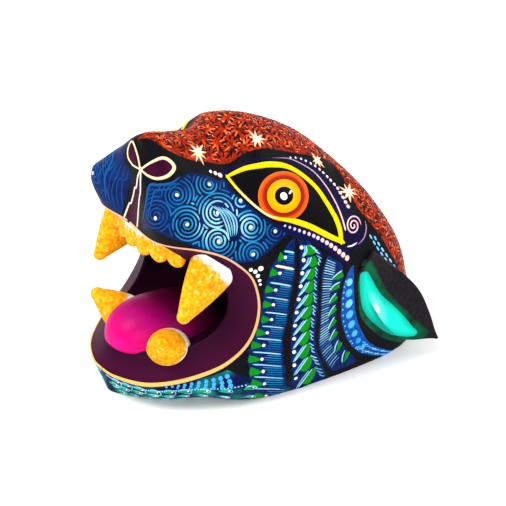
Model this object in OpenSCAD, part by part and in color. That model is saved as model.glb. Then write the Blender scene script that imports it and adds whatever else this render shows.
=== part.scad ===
// A carved and painted head of a roaring big cat, resting on its lower jaw and neck.
// The head is one carved block. Ears, fangs, front teeth and tongue are carved apart and
// glued in their seats on wooden pegs. Units are millimetres. The face looks along -Y,
// +Z is up, and the origin is on the table between the corners of the mouth and the ears.

/* [Head] */
// Length of the head block, from the lower lip to the nape
head_len = 142; // [115:1:180]
// Width of the head block over the cheeks
head_w = 107; // [85:1:140]
// Height of the head block, from the table to the top of the nose
head_h = 118; // [95:1:150]

/* [Fangs] */
// Width of an upper fang at its base, along the lip
upper_fang_w = 28; // [20:0.5:34]
// Thickness of an upper fang at its base, across the lip
upper_fang_t = 14; // [11:0.5:17]
// Length of an upper fang, from its seat to its tip
upper_fang_len = 30; // [22:0.5:36]
// Width of a lower fang at its base, along the lip
lower_fang_w = 20; // [15:0.5:23]
// Thickness of a lower fang at its base, across the lip
lower_fang_t = 18; // [14:0.5:20]
// Length of a lower fang, from its seat to its tip
lower_fang_len = 19; // [13:0.5:26]
// Radius of a fang's blunt tip
fang_tip_r = 3; // [1.5:0.5:4]

/* [Front teeth] */
// Radius of the curve that the strip of front teeth follows
strip_r = 39; // [34:1:44]
// Angle that the strip spans
strip_turn = 72; // [56:1:76]
// Thickness of the strip
strip_t = 5; // [3.5:0.5:7]
// Height of the strip, from its groove to the tips of its teeth
strip_h = 13; // [9:0.5:16]
// Number of teeth on the strip
tooth_n = 6; // [4:1:8]

/* [Tongue] */
// Length of the tongue
tongue_len = 57; // [45:1:62]
// Width of the tongue
tongue_w = 33; // [26:1:37]
// Height of the front of the tongue over its bed
tongue_h = 19; // [14:0.5:23]

/* [Ears] */
// Length of an ear, from its seat to its tip
ear_len = 56; // [44:1:64]
// Width of an ear at its widest
ear_w = 23; // [18:0.5:28]
// Thickness of an ear at its root
ear_t = 10; // [7:0.5:13]

/* [Pegs and fits] */
// Diameter of the fangs' pegs
fang_peg_d = 5; // [3:0.5:7]
// Diameter of the ears' pegs
ear_peg_d = 4; // [3:0.5:5]
// Diameter of the tongue's pegs
tongue_peg_d = 5; // [3:0.5:7]
// Length of every peg
peg_len = 12; // [8:1:16]
// Glue room round a seated piece
seat_gap = 0.2; // [0.1:0.05:0.4]
// Glue room round a peg, on its radius
peg_gap = 0.1; // [0.05:0.05:0.2]

/* [Hidden] */
round_fn = 48;      // facets asked for on a round piece
along = 5;          // grid steps from one rib to the next
around = 10;        // grid steps from the lip to the midline, outside
inside = 7;         // grid steps from the lip to the midline, in the mouth
low_part = 0.35;    // share of a rib below its widest place
band_part = 0.4;    // share of an inner rib that is the lip band
bottom_gap = 0.5;   // end room under a peg

// The drawing that the ribs below were laid out on was made at this size
drawn_len = 142;
drawn_w = 107;
drawn_h = 118;
scale_x = head_w / drawn_w;
scale_y = head_len / drawn_len;
scale_z = head_h / drawn_h;

// The head is a row of ribs. They start at the middle of the upper lip, go back along
// the lip, round the corner of the mouth and forward again to the middle of the lower
// lip. Each rib is [lip point], [midline y, z], greatest half-width, where along the
// rib that is, how square the rib is (under 1 for a narrow ridge), [inner edge of the lip
// band], [midline in mouth].
RIBS = [
    [[0, -45.5, 80], [-38, 115], 0, 0.5, 0.8, [0, -42, 76], [-39, 77]],
    [[13, -44, 79.7], [-36, 117], 15, 0.42, 0.8, [11, -41, 76], [-35, 79]],
    [[23, -39.5, 79], [-29, 116.5], 26, 0.4, 0.75, [18, -38.5, 74.5], [-28, 80]],
    [[32, -33, 77.5], [-19, 113], 32, 0.38, 0.75, [24, -35, 70.5], [-20, 79]],
    [[37, -24.5, 73], [-6, 111], 35, 0.33, 0.85, [27.5, -30.5, 65.5], [-10, 75]],
    [[39.5, -17.5, 66.5], [9, 113], 39, 0.3, 0.95, [29, -25, 60], [0, 69]],
    [[41, -12.2, 59], [28, 104.5], 44, 0.25, 1.15, [29.5, -20, 54.5], [11, 61]],
    [[41.3, -9.8, 48], [48, 89.5], 48, 0.3, 1.8, [30, -17.5, 47.5], [17, 50]],
    [[41.3, -10.8, 38.3], [64, 68], 50.5, 0.35, 3.6, [30, -18, 40], [16, 40]],
    [[40.8, -14.5, 30], [75, 38], 52, 0.42, 5, [29, -20.5, 34.5], [11, 32]],
    [[39.3, -20.7, 23.7], [74, -8], 52.5, 0.38, 5.5, [27.5, -25, 29.5], [3, 26]],
    [[36.5, -29.3, 18.5], [5, -14], 46, 0.33, 2.6, [25, -32, 26], [-10, 23]],
    [[30, -43, 14.4], [-22, -8], 34.5, 0.22, 2, [20.5, -40.5, 23.5], [-27, 22.5]],
    [[21, -54, 12.4], [-39, -6], 24.5, 0.2, 2, [14, -48.5, 23.3], [-39, 22.5]],
    [[9, -60.6, 12.2], [-52, -5], 11, 0.2, 2, [6.5, -54, 23.3], [-48, 22.8]],
    [[0, -62, 12.4], [-58, -4], 0, 0.2, 2, [0, -55.5, 23.3], [-52, 23]]
];
last_rib = len(RIBS) - 1;

// Swellings on both sides of the head: [centre], [reach], [push]
SWELLS = [
    [[22, -44, 93], [15, 16, 15], [5, -9, 0]],
    [[0, -38, 110], [17, 12, 12], [0, -4, 1.5]],
    [[23, 9, 103], [9, 8.5, 9], [0, 0, 3]],
    [[19, -7, 105], [9, 8, 9], [0, 0, -3.5]],
    [[34, 14, 87], [13, 15, 13], [3, -1, 1.5]],
    [[50, 20, 45], [16, 20, 18], [2, 0, 0]]
];

// Where the seated pieces sit on the drawing, and which way they point
upper_fang_at = [29.5, -22, 66.5];
upper_fang_way = [0.07, -0.69, -0.72];
lower_fang_at = [16, -38.5, 22];
lower_fang_way = [0.54, -0.55, 0.64];
strip_at = [0, -41.5, 78];
bed_at = [0, -28.5, 22];
ear_at = [48, 41, 52];
ear_way = [0.225, 0.58, -0.783];
ear_face = [0.948, -0.222, 0.229];

// Outline of an ear, from its seat to its tip: lower and upper edge as shares of half its
// width, and its thickness there as a share of the root's
EAR_EDGE = [[-0.65, 0.65, 1], [-0.72, 0.72, 1], [-0.95, 0.82, 0.9], [-1.1, 0.78, 0.75],
    [-0.92, 0.45, 0.55], [-0.1, 0, 0.2]];
ear_dish = 0.55;    // how hollow an ear's face is, as a share of half its thickness
ear_rings = 15;     // rings from an ear's seat to its tip
ear_sides = 24;     // points round an ear
ear_peg_step = 3.6; // from the middle of an ear's seat to each of its pegs
ear_peg_in = 1.5;   // from the middle of an ear's thickness to its pegs, towards the head
tongue_rings = 8;   // rings from the rim of the tongue to its top
tongue_sides = 36;  // points round the tongue
tongue_back = 0.5;  // height of the back of the tongue, as a share of its front
tongue_full = 0.4;  // how full the tongue's dome is, from 0.5 for an oval down to 0 for a block
tongue_square = 2.5; // how square the tongue's outline is, with 2 for an oval
tongue_peg_step = 14; // from the middle of the tongue to each of its pegs
fang_swell = 1.5;   // how full a fang's side is, with 1 for a straight cone
fang_steps = 7;     // steps along a fang's side
fang_sides = 24;    // points round a fang
tip_step = 22.5;    // angle of one step round a fang's tip
strip_step = 3;     // angle of one step along the strip of front teeth

/* --- Small helpers --- */
function clamp(v, low, high) = min(max(v, low), high);
function unit(v) = v / norm(v);
function sized(p) = [p[0] * scale_x, p[1] * scale_y, p[2] * scale_z];
function flip(p) = [-p[0], p[1], p[2]];
function curve(a, b, c, d, f) =
    b + 0.5 * f * (c - a + f * (2 * a - 5 * b + 4 * c - d + f * (3 * (b - c) + d - a)));

/* --- Head --- */
// Column k of rib i; past either end the ribs carry on as their mirror image
function rib(i, k) =
    i < 0 ? mirrored(RIBS[1][k]) : i > last_rib ? mirrored(RIBS[last_rib - 1][k]) : RIBS[i][k];
function mirrored(v) = is_num(v) ? v : len(v) == 3 ? flip(v) : v;
// Column k at station s, as a smooth curve through the ribs
function at_station(s, k) = let (i = min(floor(s), last_rib - 1), f = s - i)
    curve(rib(i - 1, k), rib(i, k), rib(i + 1, k), rib(i + 2, k), f);
function wide_rib(i) = i < 0 ? -RIBS[1][2] : i > last_rib ? -RIBS[last_rib - 1][2] : RIBS[i][2];
function widest(s) = let (i = min(floor(s), last_rib - 1), f = s - i)
    curve(wide_rib(i - 1), wide_rib(i), wide_rib(i + 1), wide_rib(i + 2), f);

function pull(p, s) = let (d = [(abs(p[0]) - s[0][0]) / s[1][0], (p[1] - s[0][1]) / s[1][1],
    (p[2] - s[0][2]) / s[1][2]]) exp(-d * d) * [sign(p[0]) * s[2][0], s[2][1], s[2][2]];
function swell(p, i = 0) = i == len(SWELLS) ? [0, 0, 0] : pull(p, SWELLS[i]) + swell(p, i + 1);
function finished(p) = sized(p + swell(p));

// Outer skin at station s; v runs from 0 at the lip to 1 at the midline
function outer_point(s, v) = let (
    lip = at_station(s, 0), top = at_station(s, 1), wide = widest(s),
    place = at_station(s, 3), square = at_station(s, 4),
    low = clamp(v / low_part, 0, 1), turn = 90 * clamp((v - low_part) / (1 - low_part), 0, 1),
    rise = v > low_part ? place + (1 - place) * pow(sin(turn), 2 / square) : place * low,
    x = v > low_part ? wide * pow(max(cos(turn), 0), min(2 / square, 1))
        : lip[0] + (wide - lip[0]) * sin(90 * low))
    [x, lip[1] + (top[0] - lip[1]) * rise, lip[2] + (top[1] - lip[2]) * rise];

// Skin inside the mouth; v runs from 0 at the lip over the band to 1 at the midline
function inner_point(s, v) = let (
    lip = at_station(s, 0), band = at_station(s, 5), deep = at_station(s, 6),
    low = clamp(v / band_part, 0, 1), turn = 90 * clamp((v - band_part) / (1 - band_part), 0, 1))
    v > band_part
        ? [band[0] * cos(turn), band[1] + (deep[0] - band[1]) * sin(turn),
            band[2] + (deep[1] - band[2]) * sin(turn)]
        : lip + (band - lip) * low;

// Ring j of one station: lip, over the outside to the midline, down the other side to
// the other lip, and back through the mouth
ring_n = 2 * around + 2 * inside;
function ring_point(s, j) =
    j <= around ? outer_point(s, j / around)
    : j < 2 * around ? flip(outer_point(s, 2 - j / around))
    : let (k = j - 2 * around)
        k <= inside ? flip(inner_point(s, k / inside)) : inner_point(s, 2 - k / inside);
// At the first and last ring both sides share the points of the midline
function ring_index(i, j) = let (n = j % ring_n, ends = i == 0 || i == along * last_rib)
    i * ring_n + (!ends || n <= around ? n
        : n <= 2 * around ? 2 * around - n
        : n <= 2 * around + inside ? n : (ring_n + 2 * around - n) % ring_n);

module head_loft() {
    rings = along * last_rib;
    points = [for (i = [0:rings]) for (j = [0:ring_n - 1]) finished(ring_point(i / along, j))];
    faces = [for (i = [0:rings - 1]) for (j = [0:ring_n - 1])
        let (a = ring_index(i, j), b = ring_index(i, j + 1), c = ring_index(i + 1, j + 1),
            d = ring_index(i + 1, j))
        each [[a, c, b], [a, d, c]]];
    polyhedron(points, faces);
}

// The block is sawn flat underneath, where it stands
module head_skin() intersection() {
    head_loft();
    translate([-head_w, -head_len, 0]) cube([2 * head_w, 2 * head_len, 2 * head_h]);
}

/* --- Fangs --- */
// Height of ring i of a fang of length l
function fang_height(i, l) = i <= fang_steps ? (l - fang_tip_r) * i / fang_steps
    : l - fang_tip_r + fang_tip_r * sin(tip_step * (i - fang_steps));
// Half-size of ring i of a fang that is d across at its base
function fang_reach(i, d) = i <= fang_steps
    ? fang_tip_r + (d / 2 - fang_tip_r) * (1 - pow(i / fang_steps, fang_swell))
    : fang_tip_r * cos(tip_step * (i - fang_steps));

// A blunt, slightly full cone on an oval base that is x by y
module fang_shape(x, y, l, gap = 0) {
    rings = fang_steps + 90 / tip_step - 1;
    top = (rings + 1) * fang_sides;
    points = [for (i = [0:rings]) for (j = [0:fang_sides - 1]) let (a = 360 * j / fang_sides)
        [(fang_reach(i, x) + gap) * cos(a), (fang_reach(i, y) + gap) * sin(a), fang_height(i, l)],
        [0, 0, l + gap]];
    sides = [for (i = [0:rings - 1]) for (j = [0:fang_sides - 1])
        let (k = (j + 1) % fang_sides, a = i * fang_sides, b = a + fang_sides)
        each [[a + j, b + k, a + k], [a + j, b + j, b + k]]];
    tip = [for (j = [0:fang_sides - 1]) let (k = (j + 1) % fang_sides, a = top - fang_sides)
        [a + j, top, a + k]];
    polyhedron(points, concat(sides, tip, [[for (j = [0:fang_sides - 1]) j]]));
}

// Stands its children on a seat, with +Z along the way that they point
module seated(place, way)
    translate(sized(place)) rotate([0, acos(way[2] / norm(way)), atan2(way[1], way[0])]) children();

module peg(d) translate([0, 0, -peg_len / 2]) cylinder(d = d, h = peg_len, $fn = round_fn);
module peg_bore(d) translate([0, 0, -peg_len / 2 - bottom_gap])
    cylinder(d = d + 2 * peg_gap, h = peg_len + 2 * bottom_gap, $fn = round_fn);

module upper_fang_shape(gap = 0) fang_shape(upper_fang_w, upper_fang_t, upper_fang_len, gap);
module lower_fang_shape(gap = 0) fang_shape(lower_fang_t, lower_fang_w, lower_fang_len, gap);

module upper_fang() seated(upper_fang_at, upper_fang_way) difference() {
    upper_fang_shape();
    peg_bore(fang_peg_d);
}

module lower_fang() seated(lower_fang_at, lower_fang_way) difference() {
    lower_fang_shape();
    peg_bore(fang_peg_d);
}

module upper_fang_left() color("orange") upper_fang();
module upper_fang_right() color("orange") mirror([1, 0, 0]) upper_fang();
module lower_fang_left() color("orange") lower_fang();
module lower_fang_right() color("orange") mirror([1, 0, 0]) lower_fang();

/* --- Front teeth --- */
tooth_turn = strip_turn / tooth_n;
tooth_w = 2 * strip_r * sin(tooth_turn / 2);
function arc(r, turn) = let (steps = round(turn / strip_step))
    [for (i = [0:steps]) let (a = turn * (i / steps - 0.5)) [r * sin(a), -r * cos(a)]];
function reversed(list) = [for (i = [len(list) - 1:-1:0]) list[i]];

// The curved bar, hanging down from z = 0
module strip_bar(gap = 0) {
    turn = strip_turn + 2 * gap * 180 / (PI * strip_r);
    outside = arc(strip_r + strip_t / 2 + gap, turn);
    translate([0, 0, -strip_h]) linear_extrude(strip_h)
        polygon([for (p = outside) p, for (p = reversed(arc(strip_r - strip_t / 2 - gap, turn))) p]);
}

// Puts its children at the middle of the strip's front, with its curve's centre at x = y = 0
module on_strip() translate(sized(strip_at) + [0, strip_r, 0]) children();

// The outline that is left of the bar: a straight top with round teeth below it
module tooth_outlines() {
    reach = strip_r + strip_t;
    translate([-reach, -reach, tooth_w / 2 - strip_h]) cube([2 * reach, 2 * reach, strip_h]);
    for (i = [0:tooth_n - 1])
        rotate([0, 0, (i + 0.5) * tooth_turn - strip_turn / 2])
            translate([0, -strip_r + strip_t, tooth_w / 2 - strip_h])
                rotate([90, 0, 0]) cylinder(d = tooth_w, h = 2 * strip_t, $fn = round_fn);
}

module front_teeth() color("gold") on_strip() intersection() {
    strip_bar();
    tooth_outlines();
}

/* --- Tongue --- */
function squared(v) = sign(v) * pow(abs(v), 2 / tongue_square);
function tongue_rim(gap = 0) = [for (j = [0:tongue_sides - 1]) let (a = 360 * j / tongue_sides)
    [(tongue_w / 2 + gap) * squared(sin(a)), -(tongue_len / 2 + gap) * squared(cos(a))]];
// Height of the tongue at the share r of the way from its middle to the rim point p
function tongue_top(p, r) = let (back = 0.5 + p[1] * r / tongue_len)
    tongue_h * pow(max(1 - r * r, 0), tongue_full) * (1 - (1 - tongue_back) * back);

module tongue_shape() {
    rim = tongue_rim();
    top = tongue_rings * tongue_sides;
    points = [
        for (i = [0:tongue_rings - 1]) for (j = [0:tongue_sides - 1])
            let (r = cos(90 * i / tongue_rings)) [for (v = rim[j]) v * r, tongue_top(rim[j], r)],
        [0, 0, tongue_top([0, 0], 0)], [0, 0, 0]];
    sides = [for (i = [0:tongue_rings - 2]) for (j = [0:tongue_sides - 1])
        let (k = (j + 1) % tongue_sides, a = i * tongue_sides, b = a + tongue_sides)
        each [[a + j, b + k, a + k], [a + j, b + j, b + k]]];
    caps = [for (j = [0:tongue_sides - 1]) let (k = (j + 1) % tongue_sides, a = top - tongue_sides)
        each [[a + j, top, a + k], [j, k, top + 1]]];
    polyhedron(points, concat(sides, caps));
}

module tongue_pegs_at() for (y = [-tongue_peg_step, tongue_peg_step])
    translate([0, y, 0]) children();

// Room for a lower fang and its peg
module lower_fang_room() seated(lower_fang_at, lower_fang_way) {
    lower_fang_shape(seat_gap);
    peg_bore(fang_peg_d);
}

// The tongue, hollowed where the lower fangs and their pegs stand close beside it
module tongue() color("mediumvioletred") difference() {
    translate(sized(bed_at)) difference() {
        tongue_shape();
        tongue_pegs_at() peg_bore(tongue_peg_d);
    }
    lower_fang_room();
    mirror([1, 0, 0]) lower_fang_room();
}

/* --- Ears --- */
ear_out = unit(ear_way);
ear_up = unit(cross(ear_face, ear_out));
ear_front = cross(ear_out, ear_up);
last_edge = len(EAR_EDGE) - 1;
function edge_at(i) = EAR_EDGE[clamp(i, 0, last_edge)];
function ear_edge(t) = let (s = t * last_edge, i = min(floor(s), last_edge - 1), f = s - i)
    curve(edge_at(i - 1), edge_at(i), edge_at(i + 1), edge_at(i + 2), f);

// One point of an ear's ring: t runs from the seat to the tip, a turns round the ear
function ear_point(t, a, gap) = let (e = ear_edge(t),
    half = ear_w / 4 * (e[1] - e[0]) + gap, mid = ear_w / 4 * (e[1] + e[0]),
    thick = ear_t / 2 * e[2] + gap, dish = sin(a) > 0 ? ear_dish * min(3 * t, 1) * sin(a) : 0)
    ear_out * t * ear_len + ear_up * (mid + half * cos(a))
        + ear_front * (ear_t / 2 * (1 - e[2]) + thick * sin(a) * (1 - dish));

module ear_shape(gap = 0) {
    last = ear_rings * ear_sides;
    points = [for (i = [0:ear_rings]) for (j = [0:ear_sides - 1])
        sized(ear_at) + ear_point(i / ear_rings, 360 * j / ear_sides, gap)];
    sides = [for (i = [0:ear_rings - 1]) for (j = [0:ear_sides - 1])
        let (k = (j + 1) % ear_sides, a = i * ear_sides, b = a + ear_sides)
        each [[a + j, b + k, a + k], [a + j, b + j, b + k]]];
    polyhedron(points, concat(sides, [[for (j = [0:ear_sides - 1]) j],
        [for (j = [ear_sides - 1:-1:0]) last + j]]));
}

// Puts its children on an ear's seat at each of its pegs
module ear_pegs_at() for (side = [-1, 1])
    translate(sized(ear_at) + side * ear_peg_step * ear_up - ear_peg_in * ear_front)
        rotate([0, acos(ear_out[2]), atan2(ear_out[1], ear_out[0])]) children();

module ear() difference() {
    ear_shape();
    ear_pegs_at() peg_bore(ear_peg_d);
}

module ear_left() color("darkslategray") ear();
module ear_right() color("darkslategray") mirror([1, 0, 0]) ear();

/* --- Head block with its seats --- */
module one_side_seats() {
    seated(upper_fang_at, upper_fang_way) {
        upper_fang_shape(seat_gap);
        peg_bore(fang_peg_d);
    }
    lower_fang_room();
    ear_shape(seat_gap);
    ear_pegs_at() peg_bore(ear_peg_d);
}

module head_block() color("royalblue") difference() {
    head_skin();
    one_side_seats();
    mirror([1, 0, 0]) one_side_seats();
    on_strip() strip_bar(seat_gap);
    translate(sized(bed_at)) {
        linear_extrude(tongue_h) polygon(tongue_rim(seat_gap));
        tongue_pegs_at() peg_bore(tongue_peg_d);
    }
}

/* --- Pegs --- */
module one_side_fang_pegs() {
    seated(upper_fang_at, upper_fang_way) peg(fang_peg_d);
    seated(lower_fang_at, lower_fang_way) peg(fang_peg_d);
}

module fang_pegs() color("burlywood") {
    one_side_fang_pegs();
    mirror([1, 0, 0]) one_side_fang_pegs();
}

module ear_pegs() color("burlywood") {
    ear_pegs_at() peg(ear_peg_d);
    mirror([1, 0, 0]) ear_pegs_at() peg(ear_peg_d);
}

module tongue_pegs() color("burlywood") translate(sized(bed_at))
    tongue_pegs_at() peg(tongue_peg_d);

head_block();
ear_left();
ear_right();
upper_fang_left();
upper_fang_right();
lower_fang_left();
lower_fang_right();
front_teeth();
tongue();
fang_pegs();
ear_pegs();
tongue_pegs();
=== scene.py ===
"""Carved and painted head of a roaring big cat: its paint, its teeth, tongue and ears."""
from __future__ import annotations

import logging
import math
from dataclasses import dataclass, field
from enum import Enum
from typing import Iterable, Sequence

import bpy
import numpy as np
from mathutils import Matrix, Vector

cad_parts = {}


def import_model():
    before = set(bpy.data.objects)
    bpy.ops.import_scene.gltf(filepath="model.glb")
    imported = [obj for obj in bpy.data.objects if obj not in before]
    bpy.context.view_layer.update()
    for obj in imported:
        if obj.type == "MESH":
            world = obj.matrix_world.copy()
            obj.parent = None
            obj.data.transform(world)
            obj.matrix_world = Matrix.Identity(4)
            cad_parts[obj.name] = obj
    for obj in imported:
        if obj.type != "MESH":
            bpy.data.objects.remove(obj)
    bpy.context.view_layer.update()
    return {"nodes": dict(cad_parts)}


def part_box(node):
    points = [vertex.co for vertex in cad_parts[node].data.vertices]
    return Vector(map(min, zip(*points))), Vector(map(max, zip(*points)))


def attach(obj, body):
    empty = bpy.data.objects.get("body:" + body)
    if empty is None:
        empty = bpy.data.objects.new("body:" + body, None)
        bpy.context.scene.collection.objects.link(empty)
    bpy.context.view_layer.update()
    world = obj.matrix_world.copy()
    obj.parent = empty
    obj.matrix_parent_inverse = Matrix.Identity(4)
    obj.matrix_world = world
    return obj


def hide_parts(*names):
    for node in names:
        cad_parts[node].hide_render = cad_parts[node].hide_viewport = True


LOG = logging.getLogger("painted_head")
MM = 0.001
Pairs = Sequence[tuple[float, float]]


# ---------------------------------------------------------------- colours and small maths
def ink(code: str) -> np.ndarray:
    """A colour written as six hex digits, as linear red, green, blue and full cover."""
    parts = np.array([int(code[i:i + 2], 16) / 255 for i in (0, 2, 4)])
    linear = np.where(parts <= 0.04045, parts / 12.92, ((parts + 0.055) / 1.055) ** 2.4)
    return np.append(linear, 1.0)


def blend(first: np.ndarray, second: np.ndarray, share: float | np.ndarray) -> np.ndarray:
    """The colour that lies the given share of the way from the first to the second."""
    return first + (second - first) * np.asarray(share)[..., None]


def unit(vector: np.ndarray) -> np.ndarray:
    """Vectors scaled to a length of one along the last axis."""
    return vector / np.maximum(np.linalg.norm(vector, axis=-1, keepdims=True), 1e-9)


def catmull(knots: np.ndarray, place: np.ndarray) -> np.ndarray:
    """Catmull-Rom curve: the cubic through knots i+1 and i+2 whose slope at a knot is half
    the step between the knots on either side.

    Args:
        knots: rows to pass through, with one spare row before the first and after the last.
        place: where on the curve, from 0 at the first true knot to the number of spans.

    Returns:
        One row for each place.
    """
    spans = len(knots) - 3
    place = np.clip(place, 0, spans - 1e-9)
    i = np.floor(place).astype(int)
    f = (place - i)[:, None]
    a, b, c, d = knots[i], knots[i + 1], knots[i + 2], knots[i + 3]
    return b + 0.5 * f * (c - a + f * (2 * a - 5 * b + 4 * c - d + f * (3 * (b - c) + d - a)))


def smooth_path(points: Pairs | np.ndarray, step: float, closed: bool = False) -> np.ndarray:
    """A smooth curve through points, resampled at even steps of its own length.

    Args:
        points: the points to pass through.
        step: distance from one sample to the next.
        closed: True joins the last point to the first; the last sample is then the first.

    Returns:
        The samples, one to a row.
    """
    p = np.asarray(points, float)
    if closed:
        knots = np.vstack([p[-1], p, p[0], p[1]])
    else:
        knots = np.vstack([2 * p[0] - p[1], p, 2 * p[-1] - p[-2]])
    fine = catmull(knots, np.linspace(0, len(knots) - 3, 24 * (len(knots) - 3) + 1))
    run = np.append(0, np.cumsum(np.linalg.norm(np.diff(fine, axis=0), axis=1)))
    places = np.linspace(0, run[-1], max(3, int(round(run[-1] / step)) + 1))
    return np.stack([np.interp(places, run, fine[:, k]) for k in range(fine.shape[1])], 1)


def signed_distance(
    points: np.ndarray, outline: np.ndarray, scale: np.ndarray | None = None
) -> np.ndarray:
    """Distance from each point to the nearest edge of an outline, positive inside it.

    Each edge is a segment; the nearest place on it is the point's foot, kept between its
    ends. A point is inside when a ray from it crosses the outline an odd number of times.

    Args:
        points: places, two numbers to a row.
        outline: corners in order; the last joins the first.
        scale: how many millimetres one unit of each number is, at each point.

    Returns:
        One signed distance for each point.
    """
    scale = np.ones_like(points) if scale is None else scale
    near = np.full(len(points), 1e9)
    crossings = np.zeros(len(points), int)
    for a, b in zip(outline, np.roll(outline, -1, axis=0)):
        edge = (b - a) * scale
        away = (points - a) * scale
        share = (away * edge).sum(1) / np.maximum((edge * edge).sum(1), 1e-12)
        foot = away - np.clip(share, 0, 1)[:, None] * edge
        near = np.minimum(near, np.hypot(foot[:, 0], foot[:, 1]))
        if a[1] != b[1]:
            across = a[0] + (points[:, 1] - a[1]) * (b[0] - a[0]) / (b[1] - a[1])
            spans = (a[1] > points[:, 1]) != (b[1] > points[:, 1])
            crossings += spans & (points[:, 0] < across)
    return np.where(crossings % 2 == 1, near, -near)


def runs(keep: np.ndarray, least: int) -> Iterable[slice]:
    """The unbroken stretches of True in a mask that are at least so many samples long."""
    padded = np.concatenate([[False], keep, [False]]).astype(int)
    edges = np.diff(padded)
    for start, stop in zip(np.flatnonzero(edges == 1), np.flatnonzero(edges == -1)):
        if stop - start >= least:
            yield slice(start, stop)


# ---------------------------------------------------------------- meshes
def make_piece(
    name: str, points_mm: np.ndarray, faces: Sequence[np.ndarray],
    tint: np.ndarray | None = None, marks: dict[str, np.ndarray] | None = None,
) -> bpy.types.Object:
    """Makes an object at the origin from points in millimetres.

    Args:
        name: name of the piece.
        points_mm: places of the vertices.
        faces: arrays of vertex numbers, one row to a face; each array has its own width.
        tint: linear colour of each vertex, if the paint needs one.
        marks: one number for each vertex under each name.

    Returns:
        The new object, which rides on the only body.
    """
    mesh = bpy.data.meshes.new(name)
    mesh.vertices.add(len(points_mm))
    mesh.vertices.foreach_set("co", (points_mm * MM).astype(np.float32).ravel())
    sizes = np.concatenate([np.full(len(f), f.shape[1]) for f in faces])
    corners = np.concatenate([f.ravel() for f in faces])
    mesh.loops.add(len(corners))
    mesh.loops.foreach_set("vertex_index", corners.astype(np.int32))
    mesh.polygons.add(len(sizes))
    starts = np.append(0, np.cumsum(sizes)[:-1])
    mesh.polygons.foreach_set("loop_start", starts.astype(np.int32))
    mesh.polygons.foreach_set("use_smooth", np.ones(len(sizes), bool))
    mesh.update(calc_edges=True)
    if tint is not None:
        layer = mesh.attributes.new("tint", "FLOAT_COLOR", "POINT")
        layer.data.foreach_set("color", tint.astype(np.float32).ravel())
    for key, values in (marks or {}).items():
        layer = mesh.attributes.new(key, "FLOAT", "POINT")
        layer.data.foreach_set("value", values.astype(np.float32))
    mesh.validate()
    piece = bpy.data.objects.new(name, mesh)
    bpy.context.scene.collection.objects.link(piece)
    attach(piece, "root")
    LOG.info("%s: %d faces", name, len(sizes))
    return piece


def tube_faces(rings: int, sides: int, first: int = 0) -> np.ndarray:
    """Quads between neighbouring closed rings of the same number of points.

    Ring i, point j has the number first + i * sides + j. The quads face outwards where
    the rings turn anticlockwise seen from the end that they run towards.
    """
    i, j = np.meshgrid(np.arange(rings - 1), np.arange(sides), indexing="ij")
    k = (j + 1) % sides
    quads = np.stack([i * sides + j, i * sides + k, (i + 1) * sides + k, (i + 1) * sides + j], -1)
    return quads.reshape(-1, 4) + first


def fan_faces(ring: np.ndarray, middle: int) -> np.ndarray:
    """Triangles from a ring of vertex numbers to one vertex in its middle."""
    return np.stack([ring, np.roll(ring, -1), np.full(len(ring), middle)], 1)


def fitted(points: np.ndarray, node: str) -> np.ndarray:
    """Points stretched and moved so that their box is the box of a node of the frame."""
    low, high = (np.array(corner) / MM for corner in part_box(node))
    own_low, own_high = points.min(0), points.max(0)
    return low + (points - own_low) * (high - low) / (own_high - own_low)


# ---------------------------------------------------------------- the shape of the skin
@dataclass(frozen=True)
class Rib:
    """One rib of the head, in millimetres, from the lip over the cheek to the midline."""

    lip: tuple[float, float, float]
    midline: tuple[float, float]
    half_width: float
    widest: float
    square: float
    band: tuple[float, float, float]
    deep: tuple[float, float]


@dataclass(frozen=True)
class Swelling:
    """A round push outwards on both sides of the head."""

    centre: tuple[float, float, float]
    reach: tuple[float, float, float]
    push: tuple[float, float, float]


RIBS = (
    Rib((0, -45.5, 80), (-38, 115), 0, 0.5, 0.8, (0, -42, 76), (-39, 77)),
    Rib((13, -44, 79.7), (-36, 117), 15, 0.42, 0.8, (11, -41, 76), (-35, 79)),
    Rib((23, -39.5, 79), (-29, 116.5), 26, 0.4, 0.75, (18, -38.5, 74.5), (-28, 80)),
    Rib((32, -33, 77.5), (-19, 113), 32, 0.38, 0.75, (24, -35, 70.5), (-20, 79)),
    Rib((37, -24.5, 73), (-6, 111), 35, 0.33, 0.85, (27.5, -30.5, 65.5), (-10, 75)),
    Rib((39.5, -17.5, 66.5), (9, 113), 39, 0.3, 0.95, (29, -25, 60), (0, 69)),
    Rib((41, -12.2, 59), (28, 104.5), 44, 0.25, 1.15, (29.5, -20, 54.5), (11, 61)),
    Rib((41.3, -9.8, 48), (48, 89.5), 48, 0.3, 1.8, (30, -17.5, 47.5), (17, 50)),
    Rib((41.3, -10.8, 38.3), (64, 68), 50.5, 0.35, 3.6, (30, -18, 40), (16, 40)),
    Rib((40.8, -14.5, 30), (75, 38), 52, 0.42, 5, (29, -20.5, 34.5), (11, 32)),
    Rib((39.3, -20.7, 23.7), (74, -8), 52.5, 0.38, 5.5, (27.5, -25, 29.5), (3, 26)),
    Rib((36.5, -29.3, 18.5), (5, -14), 46, 0.33, 2.6, (25, -32, 26), (-10, 23)),
    Rib((30, -43, 14.4), (-22, -8), 34.5, 0.22, 2, (20.5, -40.5, 23.5), (-27, 22.5)),
    Rib((21, -54, 12.4), (-39, -6), 24.5, 0.2, 2, (14, -48.5, 23.3), (-39, 22.5)),
    Rib((9, -60.6, 12.2), (-52, -5), 11, 0.2, 2, (6.5, -54, 23.3), (-48, 22.8)),
    Rib((0, -62, 12.4), (-58, -4), 0, 0.2, 2, (0, -55.5, 23.3), (-52, 23)),
)
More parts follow.
